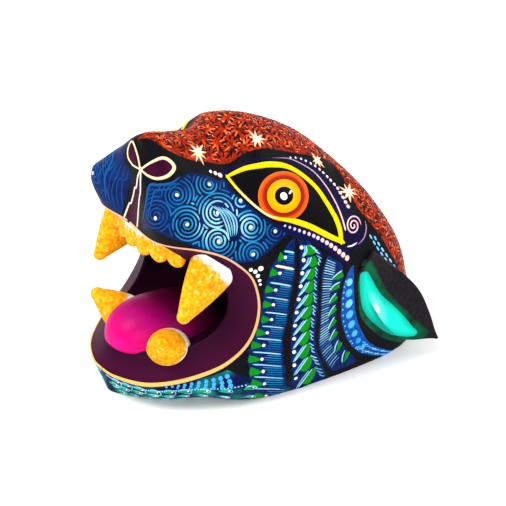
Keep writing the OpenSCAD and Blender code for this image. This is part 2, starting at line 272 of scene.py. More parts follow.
SWELLINGS = (
    Swelling((22, -44, 93), (15, 16, 15), (5, -9, 0)),
    Swelling((0, -38, 110), (17, 12, 12), (0, -4, 1.5)),
    Swelling((23, 9, 103), (9, 8.5, 9), (0, 0, 3)),
    Swelling((19, -7, 105), (9, 8, 9), (0, 0, -3.5)),
    Swelling((34, 14, 87), (13, 15, 13), (3, -1, 1.5)),
    Swelling((50, 20, 45), (16, 20, 18), (2, 0, 0)),
)
LAST_RIB = len(RIBS) - 1


@dataclass
class Skin:
    """The head's surface as a function of two numbers.

    s runs along the lips: 0 at the middle of the upper lip, 15 at the middle of the lower
    lip, and below 0 on the far side. v runs across: 0 on the lip, 1 on the midline, and
    on to 2 at the far lip.
    """

    low_part: float = 0.35
    band_part: float = 0.4
    scale: np.ndarray = field(default_factory=lambda: np.ones(3))
    knots: np.ndarray = field(init=False)

    def __post_init__(self) -> None:
        """Lays the ribs out as rows, with a mirrored row beyond each end."""
        rows = np.array([[*r.lip, *r.midline, r.half_width, r.widest, r.square, *r.band, *r.deep]
                         for r in RIBS], float)
        mirror = np.array([-1, 1, 1, 1, 1, -1, 1, 1, -1, 1, 1, 1, 1.0])
        self.knots = np.vstack([rows[1] * mirror, rows, rows[-2] * mirror])

    def swollen(self, p: np.ndarray) -> np.ndarray:
        """Adds each swelling's push times exp(-d squared), where d is the distance from its
        centre in reaches, and saws the block flat at z = 0."""
        out = p.copy()
        side = np.sign(p[:, 0])
        for swelling in SWELLINGS:
            away = (np.column_stack([np.abs(p[:, 0]), p[:, 1:]]) - swelling.centre) / swelling.reach
            share = np.exp(-(away ** 2).sum(1))
            push = np.array(swelling.push)
            out += share[:, None] * np.column_stack([side * push[0], np.full(len(p), push[1]),
                                                     np.full(len(p), push[2])])
        out[:, 2] = np.maximum(out[:, 2], 0)
        return out

    def outer(self, s: np.ndarray, v: np.ndarray) -> np.ndarray:
        """A point of the outer skin.

        Below the widest place the rib leaves the lip on a quarter sine; above it x falls
        with the cosine and the climb to the midline follows the sine to a power, so that
        the rib is a ridge, an arch or a square shoulder. On a square rib the angle moves
        slowly near its ends, which keeps the steps along the rib even.

        Args:
            s: places along the lips.
            v: places across, up to 2.

        Returns:
            Points in millimetres.
        """
        s, v = np.broadcast_arrays(np.asarray(s, float), np.asarray(v, float))
        s, v = s.ravel(), v.ravel()
        s = np.where(v > 1, -s, s)
        v = np.clip(np.where(v > 1, 2 - v, v), 0, 1)
        row = catmull(self.knots, np.abs(s))
        lip, top, wide, place, square = row[:, :3], row[:, 3:5], row[:, 5], row[:, 6], row[:, 7]
        low = np.clip(v / self.low_part, 0, 1)
        climb = np.clip((v - self.low_part) / (1 - self.low_part), 0, 1)
        even = np.maximum(square / 2, 1)
        turn = np.pi / 2 * climb ** even / (climb ** even + (1 - climb) ** even)
        above = v > self.low_part
        rise = np.where(above, place + (1 - place) * np.sin(turn) ** (2 / square), place * low)
        arch = wide * np.maximum(np.cos(turn), 0) ** np.minimum(2 / square, 1)
        x = np.where(above, arch, lip[:, 0] + (wide - lip[:, 0]) * np.sin(np.pi / 2 * low))
        y = lip[:, 1] + (top[:, 0] - lip[:, 1]) * rise
        z = lip[:, 2] + (top[:, 1] - lip[:, 2]) * rise
        p = self.swollen(np.column_stack([x, y, z]))
        p[:, 0] *= np.where(s < 0, -1, 1)
        return p

    def inner(self, s: np.ndarray, v: np.ndarray) -> np.ndarray:
        """A point of the skin inside the mouth: straight across the lip band, then a quarter
        ellipse from the band's edge to the midline."""
        s, v = np.broadcast_arrays(np.asarray(s, float), np.asarray(v, float))
        row = catmull(self.knots, s.ravel())
        v = v.ravel()
        lip, band, deep = row[:, :3], row[:, 8:11], row[:, 11:13]
        low = np.clip(v / self.band_part, 0, 1)[:, None]
        turn = np.pi / 2 * np.clip((v - self.band_part) / (1 - self.band_part), 0, 1)
        back = np.column_stack([band[:, 0] * np.cos(turn),
                                band[:, 1] + (deep[:, 0] - band[:, 1]) * np.sin(turn),
                                band[:, 2] + (deep[:, 1] - band[:, 2]) * np.sin(turn)])
        return self.swollen(np.where((v > self.band_part)[:, None], back, lip + (band - lip) * low))

    def slopes(self, s: np.ndarray, v: np.ndarray) -> tuple[np.ndarray, np.ndarray]:
        """Change of the outer skin's point along s and along v, by central differences."""
        h = 0.004
        along = (self.outer(s + h, v) - self.outer(s - h, v)) / (2 * h)
        across = (self.outer(s, v + h) - self.outer(s, v - h)) / (2 * h)
        low = np.asarray(v) < h
        if low.any():
            edge = (self.outer(s[low], v[low] + h) - self.outer(s[low], v[low])) / h
            across[low] = edge
        return along, across

    def outward(self, s: np.ndarray, v: np.ndarray) -> np.ndarray:
        """The way that the outer skin faces: the cross product of its two slopes."""
        along, across = self.slopes(s, v)
        return unit(np.cross(along, across))

    def reach(self, s: np.ndarray, v: np.ndarray) -> np.ndarray:
        """Millimetres that one unit of s and one unit of v cover, at each place."""
        along, across = self.slopes(s, v)
        return np.maximum(np.column_stack([np.linalg.norm(along, axis=1),
                                           np.linalg.norm(across, axis=1)]), 1e-3)


@dataclass
class QuarterView:
    """The painter's drawing plane, square to a line of sight from the front quarter.

    A place on it is two numbers in millimetres from the middle of the head, to the right
    and up. Places are carried along the lines of sight onto the skin.
    """

    skin: Skin
    azimuth: float = 53.0
    elevation: float = 32.0
    distance: float = 1000.0
    middle: tuple[float, float, float] = (0.0, 5.0, 55.0)

    def __post_init__(self) -> None:
        """Works out the plane's three directions and a coarse net of the near skin."""
        a, e = math.radians(self.azimuth), math.radians(self.elevation)
        self.back = np.array([math.sin(a) * math.cos(e), -math.cos(a) * math.cos(e), math.sin(e)])
        self.right = np.array([math.cos(a), math.sin(a), 0.0])
        self.up = np.cross(self.back, self.right)
        s, v = np.meshgrid(np.linspace(-2.4, 15, 175), np.linspace(0.0, 1.12, 60), indexing="ij")
        s, v = s.ravel(), v.ravel()
        seen = (self.skin.outward(s, v) @ self.back > 0.04) & ((s > 0) | (v < 1))
        seen &= (v < 1) | (s > 1)
        self.net = np.column_stack([s, v])[seen]
        self.net_flat = self.flat(self.skin.outer(*self.net.T))

    def flat(self, points: np.ndarray) -> np.ndarray:
        """Where points appear: their offsets to the right and up, times the distance of the
        eye over their own distance from it."""
        away = points - np.array(self.middle)
        grow = self.distance / (self.distance - away @ self.back)
        return np.column_stack([grow * (away @ self.right), grow * (away @ self.up)])

    def onto_skin(self, places: Pairs | np.ndarray) -> np.ndarray:
        """Carries places of the drawing onto the skin.

        Starts at the nearest point of the net and takes nine Newton steps on the two
        numbers of the drawing as a function of s and v.

        Args:
            places: two numbers in millimetres to a row.

        Returns:
            s and v for each place.
        """
        places = np.atleast_2d(np.asarray(places, float))
        start = [self.net[np.argmin(((self.net_flat[None] - part[:, None]) ** 2).sum(2), axis=1)]
                 for part in np.array_split(places, max(1, len(places) // 400))]
        found = np.vstack(start)
        h = 0.003
        for _ in range(9):
            here = self.flat(self.skin.outer(*found.T))
            by_s = (self.flat(self.skin.outer(found[:, 0] + h, found[:, 1])) - here) / h
            by_v = (self.flat(self.skin.outer(found[:, 0], found[:, 1] + h)) - here) / h
            miss = places - here
            whole = by_s[:, 0] * by_v[:, 1] - by_s[:, 1] * by_v[:, 0]
            whole = np.where(np.abs(whole) < 5, np.where(whole < 0, -5, 5), whole)
            step_s = (miss[:, 0] * by_v[:, 1] - miss[:, 1] * by_v[:, 0]) / whole
            step_v = (by_s[:, 0] * miss[:, 1] - by_s[:, 1] * miss[:, 0]) / whole
            found[:, 0] = np.clip(found[:, 0] + np.clip(step_s, -0.4, 0.4), -14.9, 14.9)
            found[:, 1] = np.clip(found[:, 1] + np.clip(step_v, -0.05, 0.05), 0.004, 1.5)
        return found


# ---------------------------------------------------------------- raised paint
@dataclass
class Brush:
    """Collects raised strokes and dots of paint, and makes one piece of them.

    A stroke's section is a low closed ring: its edges lie under the skin and its middle
    stands proud of it. A dot is a low dome of two rings. Both are closed underneath.
    """

    skin: Skin
    height: float = 0.16
    points: list[np.ndarray] = field(default_factory=list)
    quads: list[np.ndarray] = field(default_factory=list)
    triangles: list[np.ndarray] = field(default_factory=list)
    tints: list[np.ndarray] = field(default_factory=list)
    count: int = 0

    def add(self, points: np.ndarray, tint: np.ndarray) -> int:
        """Stores points and their colours, and returns the number of the first."""
        first = self.count
        self.points.append(points)
        self.tints.append(np.broadcast_to(tint, (len(points), 4)))
        self.count += len(points)
        return first

    def stroke(
        self, path: np.ndarray, width: float | np.ndarray, tint: np.ndarray,
        taper: tuple[float, float] = (0.25, 0.25), lift: float = 0.0,
    ) -> None:
        """A raised line of paint along a path of (s, v) on the skin.

        At each sample six points stand round the path: across it by shares of half the
        width, and out of the skin by shares of the height. The width falls to a small
        share at the ends with a sine over the tapered part.

        Args:
            path: s and v, one sample to a row.
            width: width in millimetres, for the whole stroke or for each sample.
            tint: one colour, or one for each sample.
            taper: shares of the stroke that narrow at its start and at its end.
            lift: extra height over the skin, for a stroke that lies on another.
        """
        if len(path) < 3:
            return
        centre = self.skin.outer(*path.T)
        out = self.skin.outward(*path.T)
        run = unit(np.gradient(centre, axis=0))
        side = unit(np.cross(run, out))
        share = np.linspace(0, 1, len(path))
        rise = np.clip(share / max(taper[0], 1e-3), 0.0, 1)
        fall = np.clip((1 - share) / max(taper[1], 1e-3), 0.0, 1)
        shape = 0.12 + 0.88 * np.sin(np.pi / 2 * np.minimum(rise, fall)) ** 0.8
        half = np.broadcast_to(width, len(path)) / 2 * shape
        across = np.array([-1, -0.5, 0, 0.5, 1, 0])
        up = np.array([-0.5, 0.75, 1, 0.75, -0.5, -1.5]) * self.height
        ring = (centre[:, None] + side[:, None] * (across * half[:, None])[..., None]
                + out[:, None] * ((up * shape[:, None] + lift)[..., None]))
        tint = np.broadcast_to(tint, (len(path), 4))
        first = self.add(ring.reshape(-1, 3), np.repeat(tint, 6, axis=0))
        self.quads.append(tube_faces(len(path), 6, first)[:, ::-1])
        last = first + 6 * (len(path) - 1)
        for start, turn in ((first, 1), (last, -1)):
            cap = np.array([[0, 1, 4, 5], [1, 2, 3, 4]])[:, ::turn]
            self.quads.append(start + cap)

    def dots(
        self, places: np.ndarray, radius: float | np.ndarray, tint: np.ndarray,
        sides: int = 10, lift: float = 0.0,
    ) -> None:
        """Low domes at places of (s, v): rings at 1, 0.75 and 0.35 of the radius and a top.

        Args:
            places: s and v of the middles.
            radius: radius in millimetres, one or one for each dot.
            tint: one colour, or one for each dot.
            sides: points round a dot.
            lift: extra height over the skin.
        """
        n = len(places)
        middle, out = self.skin.outer(*places.T), self.skin.outward(*places.T)
        flat = unit(np.cross(np.broadcast_to([0.0, 0.3, 1.0], out.shape), out))
        other = np.cross(out, flat)
        turn = 2 * np.pi * np.arange(sides) / sides
        radius = np.broadcast_to(radius, n).astype(float)
        tall = np.minimum(0.35 * radius, 2.2 * self.height)
        rings = [(-0.6, 0.9), (0.0, 1.0), (0.7, 0.75), (1.0, 0.35)]
        points = [middle[:, None] + (lift + up * tall)[:, None, None] * out[:, None]
                  + (wide * radius)[:, None, None]
                  * (np.cos(turn)[None, :, None] * flat[:, None]
                     + np.sin(turn)[None, :, None] * other[:, None]) for up, wide in rings]
        ends = [middle[:, None] + (lift + up * tall)[:, None, None] * out[:, None]
                for up in (1.08, -0.6)]
        block = np.concatenate(points + ends, axis=1)
        tint = np.broadcast_to(tint, (n, 4))
        first = self.add(block.reshape(-1, 3), np.repeat(tint, block.shape[1], axis=0))
        starts = first + block.shape[1] * np.arange(n)
        side_faces = tube_faces(4, sides)
        top = fan_faces(np.arange(3 * sides, 4 * sides), 4 * sides)
        under = fan_faces(np.arange(sides), 4 * sides + 1)[:, ::-1]
        self.quads.append((starts[:, None, None] + side_faces).reshape(-1, 4))
        self.triangles.append((starts[:, None, None] + np.vstack([top, under])).reshape(-1, 3))

    def finish(self, name: str, slot: str, mirror: bool = True) -> bpy.types.Object:
        """Makes the piece, with its mirror image on the far side if asked for."""
        points, tints = np.vstack(self.points), np.vstack(self.tints)
        quads = np.vstack(self.quads) if self.quads else np.zeros((0, 4), int)
        triangles = np.vstack(self.triangles) if self.triangles else np.zeros((0, 3), int)
        if mirror:
            n = len(points)
            points = np.vstack([points, points * [-1, 1, 1]])
            tints = np.vstack([tints, tints])
            quads = np.vstack([quads, quads[:, ::-1] + n])
            triangles = np.vstack([triangles, triangles[:, ::-1] + n])
        piece = make_piece(name, points * self.skin.scale, [quads, triangles], tints)
        return piece


# ---------------------------------------------------------------- node graphs
class Value:
    """A number socket of a node graph, so that sums on it add Math nodes."""

    def __init__(self, graph: "Graph", socket: bpy.types.NodeSocket) -> None:
        """Keeps the graph and the socket."""
        self.graph = graph
        self.socket = socket

    def math(self, operation: str, *others: "Value | float", first: bool = True) -> "Value":
        """A Math node of an operation on this value and others."""
        terms = (self, *others) if first else (*others, self)
        return self.graph.node("ShaderNodeMath", {"operation": operation}, dict(enumerate(terms)))

    def __add__(self, other: "Value | float") -> "Value":
        """Sum."""
        return self.math("ADD", other)

    __radd__ = __add__

    def __sub__(self, other: "Value | float") -> "Value":
        """Difference."""
        return self.math("SUBTRACT", other)

    def __rsub__(self, other: float) -> "Value":
        """Reflected difference."""
        return self.math("SUBTRACT", other, first=False)

    def __mul__(self, other: "Value | float") -> "Value":
        """Product."""
        return self.math("MULTIPLY", other)

    __rmul__ = __mul__

    def clamped(self) -> "Value":
        """Kept between 0 and 1."""
        return self.math("MINIMUM", 1.0).math("MAXIMUM", 0.0)

    def step(self, start: float, stop: float) -> "Value":
        """0 below start, 1 above stop, and straight between."""
        return ((self - start) * (1 / (stop - start))).clamped()


class Graph:
    """Builds one material's nodes."""

    def __init__(self, name: str) -> None:
        """Starts an empty material."""
        self.material = bpy.data.materials.new(name)
        self.material.use_nodes = True
        self.tree = self.material.node_tree
        self.tree.nodes.clear()

    def node(
        self, kind: str, settings: dict[str, object] | None = None,
        inputs: dict[int | str, object] | None = None, output: int | str = 0,
    ) -> Value:
        """Adds a node.

        Args:
            kind: type of the node.
            settings: its settings, or a ramp's stops, which are set first.
            inputs: values or links of its sockets, by number or name.
            output: which of its outputs is wanted.

        Returns:
            The output as a value.
        """
        node = self.tree.nodes.new(kind)
        for key, setting in (settings or {}).items():
            if key == "stops":
                ramp = node.color_ramp
                while len(ramp.elements) < len(setting):
                    ramp.elements.new(0.5)
                for element, (place, tint) in zip(ramp.elements, setting):
                    element.position = place
                    element.color = tuple(tint)
            else:
                setattr(node, key, setting)
        for key, item in (inputs or {}).items():
            if isinstance(item, Value):
                self.tree.links.new(item.socket, node.inputs[key])
            else:
                node.inputs[key].default_value = tuple(item) if isinstance(item, np.ndarray) else item
        return Value(self, node.outputs[output])

    def mark(self, name: str, output: str = "Fac") -> Value:
        """Reads a named attribute of the mesh."""
        return self.node("ShaderNodeAttribute", {"attribute_name": name}, output=output)

    def place(self) -> Value:
        """The place on the piece, in metres."""
        return self.node("ShaderNodeTexCoord", output="Object")

    def noise(self, scale: float, detail: float = 3.0, stretch: Sequence[float] = (1, 1, 1)
              ) -> Value:
        """Noise between 0 and 1, so many waves to a metre, stretched along the axes."""
        place = self.node("ShaderNodeMapping", None, {"Vector": self.place(), "Scale": stretch})
        return self.node("ShaderNodeTexNoise", None,
                         {"Vector": place, "Scale": scale, "Detail": detail})

    def mix(self, first: object, second: object, share: Value | float) -> Value:
        """A colour between two, by share."""
        return self.node("ShaderNodeMix", {"data_type": "RGBA"}, {0: share, 6: first, 7: second},
                         output=2)

    def surface(self, colour: Value, finish: "Finish", roughness: Value | None = None,
                bump: Value | None = None) -> bpy.types.Material:
        """Ends the graph in a paint or wood surface.

        Args:
            colour: the base colour.
            finish: the numbers that are the same all over.
            roughness: roughness where it varies.
            bump: height in shares of the finish's bump depth.

        Returns:
            The finished material.
        """
        inputs: dict[int | str, object] = {
            "Base Color": colour, "Roughness": finish.roughness if roughness is None else roughness,
            "Coat Weight": finish.coat, "Coat Roughness": finish.coat_roughness,
            "Specular IOR Level": finish.gloss,
        }
        if bump is not None:
            inputs["Normal"] = self.node("ShaderNodeBump", None, {
                "Strength": finish.bump, "Distance": finish.bump_depth, "Height": bump},
                output="Normal")
        shader = self.node("ShaderNodeBsdfPrincipled", None, inputs)
        end = self.tree.nodes.new("ShaderNodeOutputMaterial")
        self.tree.links.new(shader.socket, end.inputs["Surface"])
        return self.material


@dataclass(frozen=True)
class Finish:
    """What is the same all over a finish."""

    roughness: float = 0.42
    coat: float = 0.01
    coat_roughness: float = 0.2
    gloss: float = 0.04
    bump: float = 0.25
    bump_depth: float = 0.0002


class Tone(Enum):
    """The painter's colours."""

    CHARCOAL = "100e13"
    BLACK = "050508"
    NAVY = "030f3e"
    DEEP_BLUE = "052563"
    MID_BLUE = "0b508f"
    SKY = "1b8fbb"
    ICE = "a6e2ee"
    WHITE = "fbfbf6"
    GREEN = "078a10"
    TEAL = "0f8f86"
    PURPLE = "3a0428"
    DARK_PURPLE = "24031b"
    LID = "0d0730"
    YELLOW = "ffd400"
    ORANGE = "d0410f"
    RED = "a32607"
    DARK_RED = "54120a"
    BROWN = "220a08"
    PINK = "f0a79a"
    CREAM = "f6dcae"
    GOLD = "f3b964"
    TAN = "e0ab84"
    LILAC = "c9c3ef"

    @property
    def ink(self) -> np.ndarray:
        """The colour, linear."""
        return ink(self.value)


def dress(piece: bpy.types.Object, material: bpy.types.Material) -> None:
    """Gives a piece its only material."""
    piece.data.materials.clear()
    piece.data.materials.append(material)


class TintPaint:
    """Paint that takes its colour from the brush, a little uneven."""

    def __init__(self, name: str, finish: Finish) -> None:
        """Keeps the name and the finish."""
        self.name = name
        self.finish = finish

    def make(self) -> bpy.types.Material:
        """Brush colour, darkened in places by fine noise."""
        g = Graph(self.name)
        colour = g.mark("tint", "Color")
        uneven = g.noise(900, 2.0).step(0.35, 0.75)
        colour = g.mix(colour, g.node("ShaderNodeMix", {"data_type": "RGBA", "blend_type": "MULTIPLY"},
                                      {0: 1.0, 6: colour, 7: (0.72, 0.72, 0.78, 1)}, output=2),
                       uneven * 0.45)
        return g.surface(colour, self.finish, roughness=0.34 + 0.2 * uneven, bump=g.noise(1600, 2.0))


# ---------------------------------------------------------------- the painted zones
CROWN_EDGE = ((0.4, 1.02), (0.9, 0.985), (1.47, 0.955), (1.9, 0.875), (2.8, 0.822), (3.7, 0.812),
              (4.6, 0.800), (5.2, 0.785), (5.8, 0.811), (6.3, 0.82), (6.8, 0.835), (7.2, 0.835),
              (7.36, 0.714), (7.56, 0.658), (7.86, 0.638), (8.2, 0.632), (8.52, 0.624),
              (8.88, 0.634), (9.4, 0.65), (9.9, 0.68), (10.05, 0.85), (10.1, 1.02))
EYE_TOP = ((-0.5, 25.5), (7, 29.5), (14, 31.2), (20, 32), (26.5, 31.3), (33, 28), (40, 22),
           (45, 15), (49, 8), (51, 2), (51.5, -4.5))
EYE_BOTTOM = ((44, -1.5), (36, 2.5), (28.5, 5), (20, 7), (13, 11.5), (5.5, 18.5))
MUZZLE_EDGE = ((-37, 4), (-31, 1.5), (-24.5, -1.5), (-18, -4), (-11.5, -6.5), (-5.5, -9.5),
               (0.5, -11.7), (5.5, -12.6), (11.5, -12.2), (15.7, -10.4), (19.5, -7), (24.8, -2),
               (27.8, 0.2), (24.3, 2.8), (20, 5.2), (13, 10), (5.5, 17), (-0.5, 23.7), (-3.2, 23.1),
               (-8.3, 25.5), (-16, 26.5), (-22, 23), (-29.3, 21.9), (-33.2, 21.9), (-35, 13.3))
TAIL_EDGE = ((-5.5, 12.8), (-2, 12.6), (3, 9.8), (6, 4.5), (6.2, -1.5), (2.4, -2.2), (0.2, 3), (-2, 7.6))
LID_EDGE = ((-2.2, 27.4), (7, 31.3), (13.5, 33), (25, 33.8), (32, 34), (37, 31.5), (42.5, 27),
            (48.3, 20.5), (53.5, 11.7), (58.7, 4), (60.4, -2.2), (57, -6.5), (52.6, -5.2),
            (51, 2), (49, 8), (45, 15), (40, 22), (33, 28), (26.5, 31.3), (20, 32), (14, 31.2),
            (7, 29.5), (-0.5, 25.5))
UNDER_EYE = ((22, 3.4), (28.5, 4.6), (36, 2.3), (44, -1.7), (51.5, -5), (54, -8), (54, -12.3),
             (50.5, -12), (46, -8.8), (41.5, -5.8), (36, -3.3), (30.5, -1.6), (26, 0.6))


@dataclass(frozen=True)
class Column:
    """A strip of the cheek between two edges, drawn on the quarter view from top to bottom."""

    left: Pairs
    right: Pairs

    def at(self, down: np.ndarray | float, across: np.ndarray | float) -> np.ndarray:
        """The place that lies the given shares of the way down and across the strip."""
        left, right = (self.even(edge) for edge in (self.left, self.right))
        down, across = np.broadcast_arrays(np.asarray(down, float), np.asarray(across, float))
        steps = np.linspace(0, 1, len(left))
        a, b = (np.stack([np.interp(down, steps, edge[:, k]) for k in range(2)], -1)
                for edge in (left, right))
        return a + (b - a) * across[..., None]

    @staticmethod
    def even(edge: Pairs) -> np.ndarray:
        """An edge as 61 samples, smooth and evenly spaced."""
        path = smooth_path(edge, 0.5)
        pick = np.linspace(0, len(path) - 1, 61)
        return np.stack([np.interp(pick, np.arange(len(path)), path[:, k]) for k in range(2)], 1)

    def outline(self) -> np.ndarray:
        """The strip's whole edge."""
        steps = np.linspace(0, 1, 15)
        return np.vstack([self.at(steps, 0.0), self.at(steps[::-1], 1.0)])


FRONT_COLUMN = Column(
    ((28.5, -2.5), (23.5, -9), (20, -13.5), (18, -20), (16, -26.5), (15.5, -32.5), (14.5, -38.5),
     (12, -44), (10, -49), (9, -54), (9.5, -59.5), (10, -64.5), (11, -71)),
    ((30, -2), (30, -10), (30, -16.5), (28.5, -24.5), (27.5, -31), (26.5, -37.5), (25, -43),
     (24.5, -49), (24.5, -54), (25, -59.5), (25.5, -65), (26, -71)))
MIDDLE_COLUMN = Column(
    ((31.5, -2.5), (32.5, -10), (32, -17.5), (31, -25), (29.5, -32.5), (28.5, -39.5), (28, -46.5),
     (28, -54), (28, -61), (29, -68.5)),
    ((36, -3), (42, -9.5), (40.5, -15), (40, -22.5), (40, -29.5), (39, -37), (38.5, -44),
     (39, -50.5), (41, -55.5), (43.5, -61.5)))
BACK_COLUMN = Column(
    ((44, -9), (42, -16), (41.5, -23), (41, -32.5), (40.5, -42), (40, -48), (42, -54),
     (46, -59.5)),
    ((50.5, -13), (51, -18.5), (48.6, -24), (48, -29.5), (47.5, -35.5), (48, -42), (50.5, -48),
     (57, -55)))
EAR_BORDER = Column(
    ((54.5, -13.5), (51.5, -20.5), (50.3, -26.5), (49.8, -35), (50.8, -41), (53, -46.5),
     (56.5, -50.5), (63.5, -52.5), (73.5, -52.5), (80, -52)),
    ((55.5, -13.5), (55.5, -20.5), (56, -26.5), (56.8, -35), (58, -40), (60, -44.5),
     (63.8, -48.2), (70.5, -50), (76, -50.3), (80.5, -50.3)))
NOSE_EDGE = ((-0.34, 0.0), (-0.2, 0.12), (-0.1, 0.23), (0.02, 0.45), (0.05, 0.6), (-0.2, 0.67),
             (-0.56, 0.75), (-0.75, 0.85), (-0.6, 0.975), (0.0, 1.0), (0.7, 1.0), (1.41, 0.95),
             (1.9, 0.86), (2.35, 0.8), (2.4, 0.73), (1.7, 0.672), (1.05, 0.655), (0.85, 0.5),
             (0.82, 0.3), (0.8, 0.166), (0.8, 0.0))
FAR_PAD = ((-0.3, 0.03), (-0.15, 0.12), (-0.05, 0.25), (0.1, 0.45), (0.0, 0.62), (-0.3, 0.69),
           (-0.6, 0.76), (-0.85, 0.86), (-1.6, 0.85), (-2.6, 0.8), (-2.6, 0.5), (-1.2, 0.03))
NEAR_PETAL = ((-37, 28), (-32, 31.2), (-27, 33), (-23.3, 31), (-22.3, 28.3), (-25, 25.2),
              (-29.5, 24), (-33.5, 25.2))
FAR_PETAL = ((-37, 28), (-38.2, 34), (-40.5, 40.2), (-42.3, 37.5), (-42.4, 33.5), (-40.3, 30))
NEAR_LINE = ((0.65, 0.712), (0.54, 0.604), (0.44, 0.33), (0.44, 0.2), (0.47, 0.03))
FAR_LINE = ((0.61, 0.712), (0.36, 0.604), (0.14, 0.33), (0.03, 0.21), (-0.07, 0.114), (-0.19, 0.02))
EAR_GREEN = ((59.5, -16), (58.8, -12.6), (62, -10.4), (65.5, -16.2), (68.8, -22.6), (72, -27.5),
             (76.8, -32), (82, -37), (86.2, -40.4), (87.2, -42.4), (85.4, -44.8), (80, -46.2),
             (73.8, -46.4), (67.5, -44.6), (62.9, -41.2), (59.2, -37), (57.8, -33), (57.5, -26.5),
             (57.3, -20.5))
EAR_LEAF = ((58.3, -17), (61.2, -16.2), (63.7, -20.4), (67, -25.8), (72, -30.4), (76.6, -35),
            (80.4, -39.6), (82.6, -42), (80.9, -43.8), (75.8, -44), (70.4, -42.9), (65.4, -39.6),
            (61.7, -36.2), (59.2, -32), (58.3, -26.7), (58, -20.5))
EAR_RING = ((56.4, -13), (61, -9.2), (66, -14), (71, -20), (79, -26), (88, -38), (90.5, -43.5),
            (86, -47), (80, -49.6), (72, -49.6), (65, -47.8), (60.3, -44), (57.5, -39), (56, -33),
            (55.6, -26), (55.6, -19))


def crown_outline() -> np.ndarray:
    """The crown's edge, smoothed and closed beyond the midline."""
    return np.vstack([smooth_path(CROWN_EDGE, 0.1), [[10.1, 1.1], [0.4, 1.1]]])


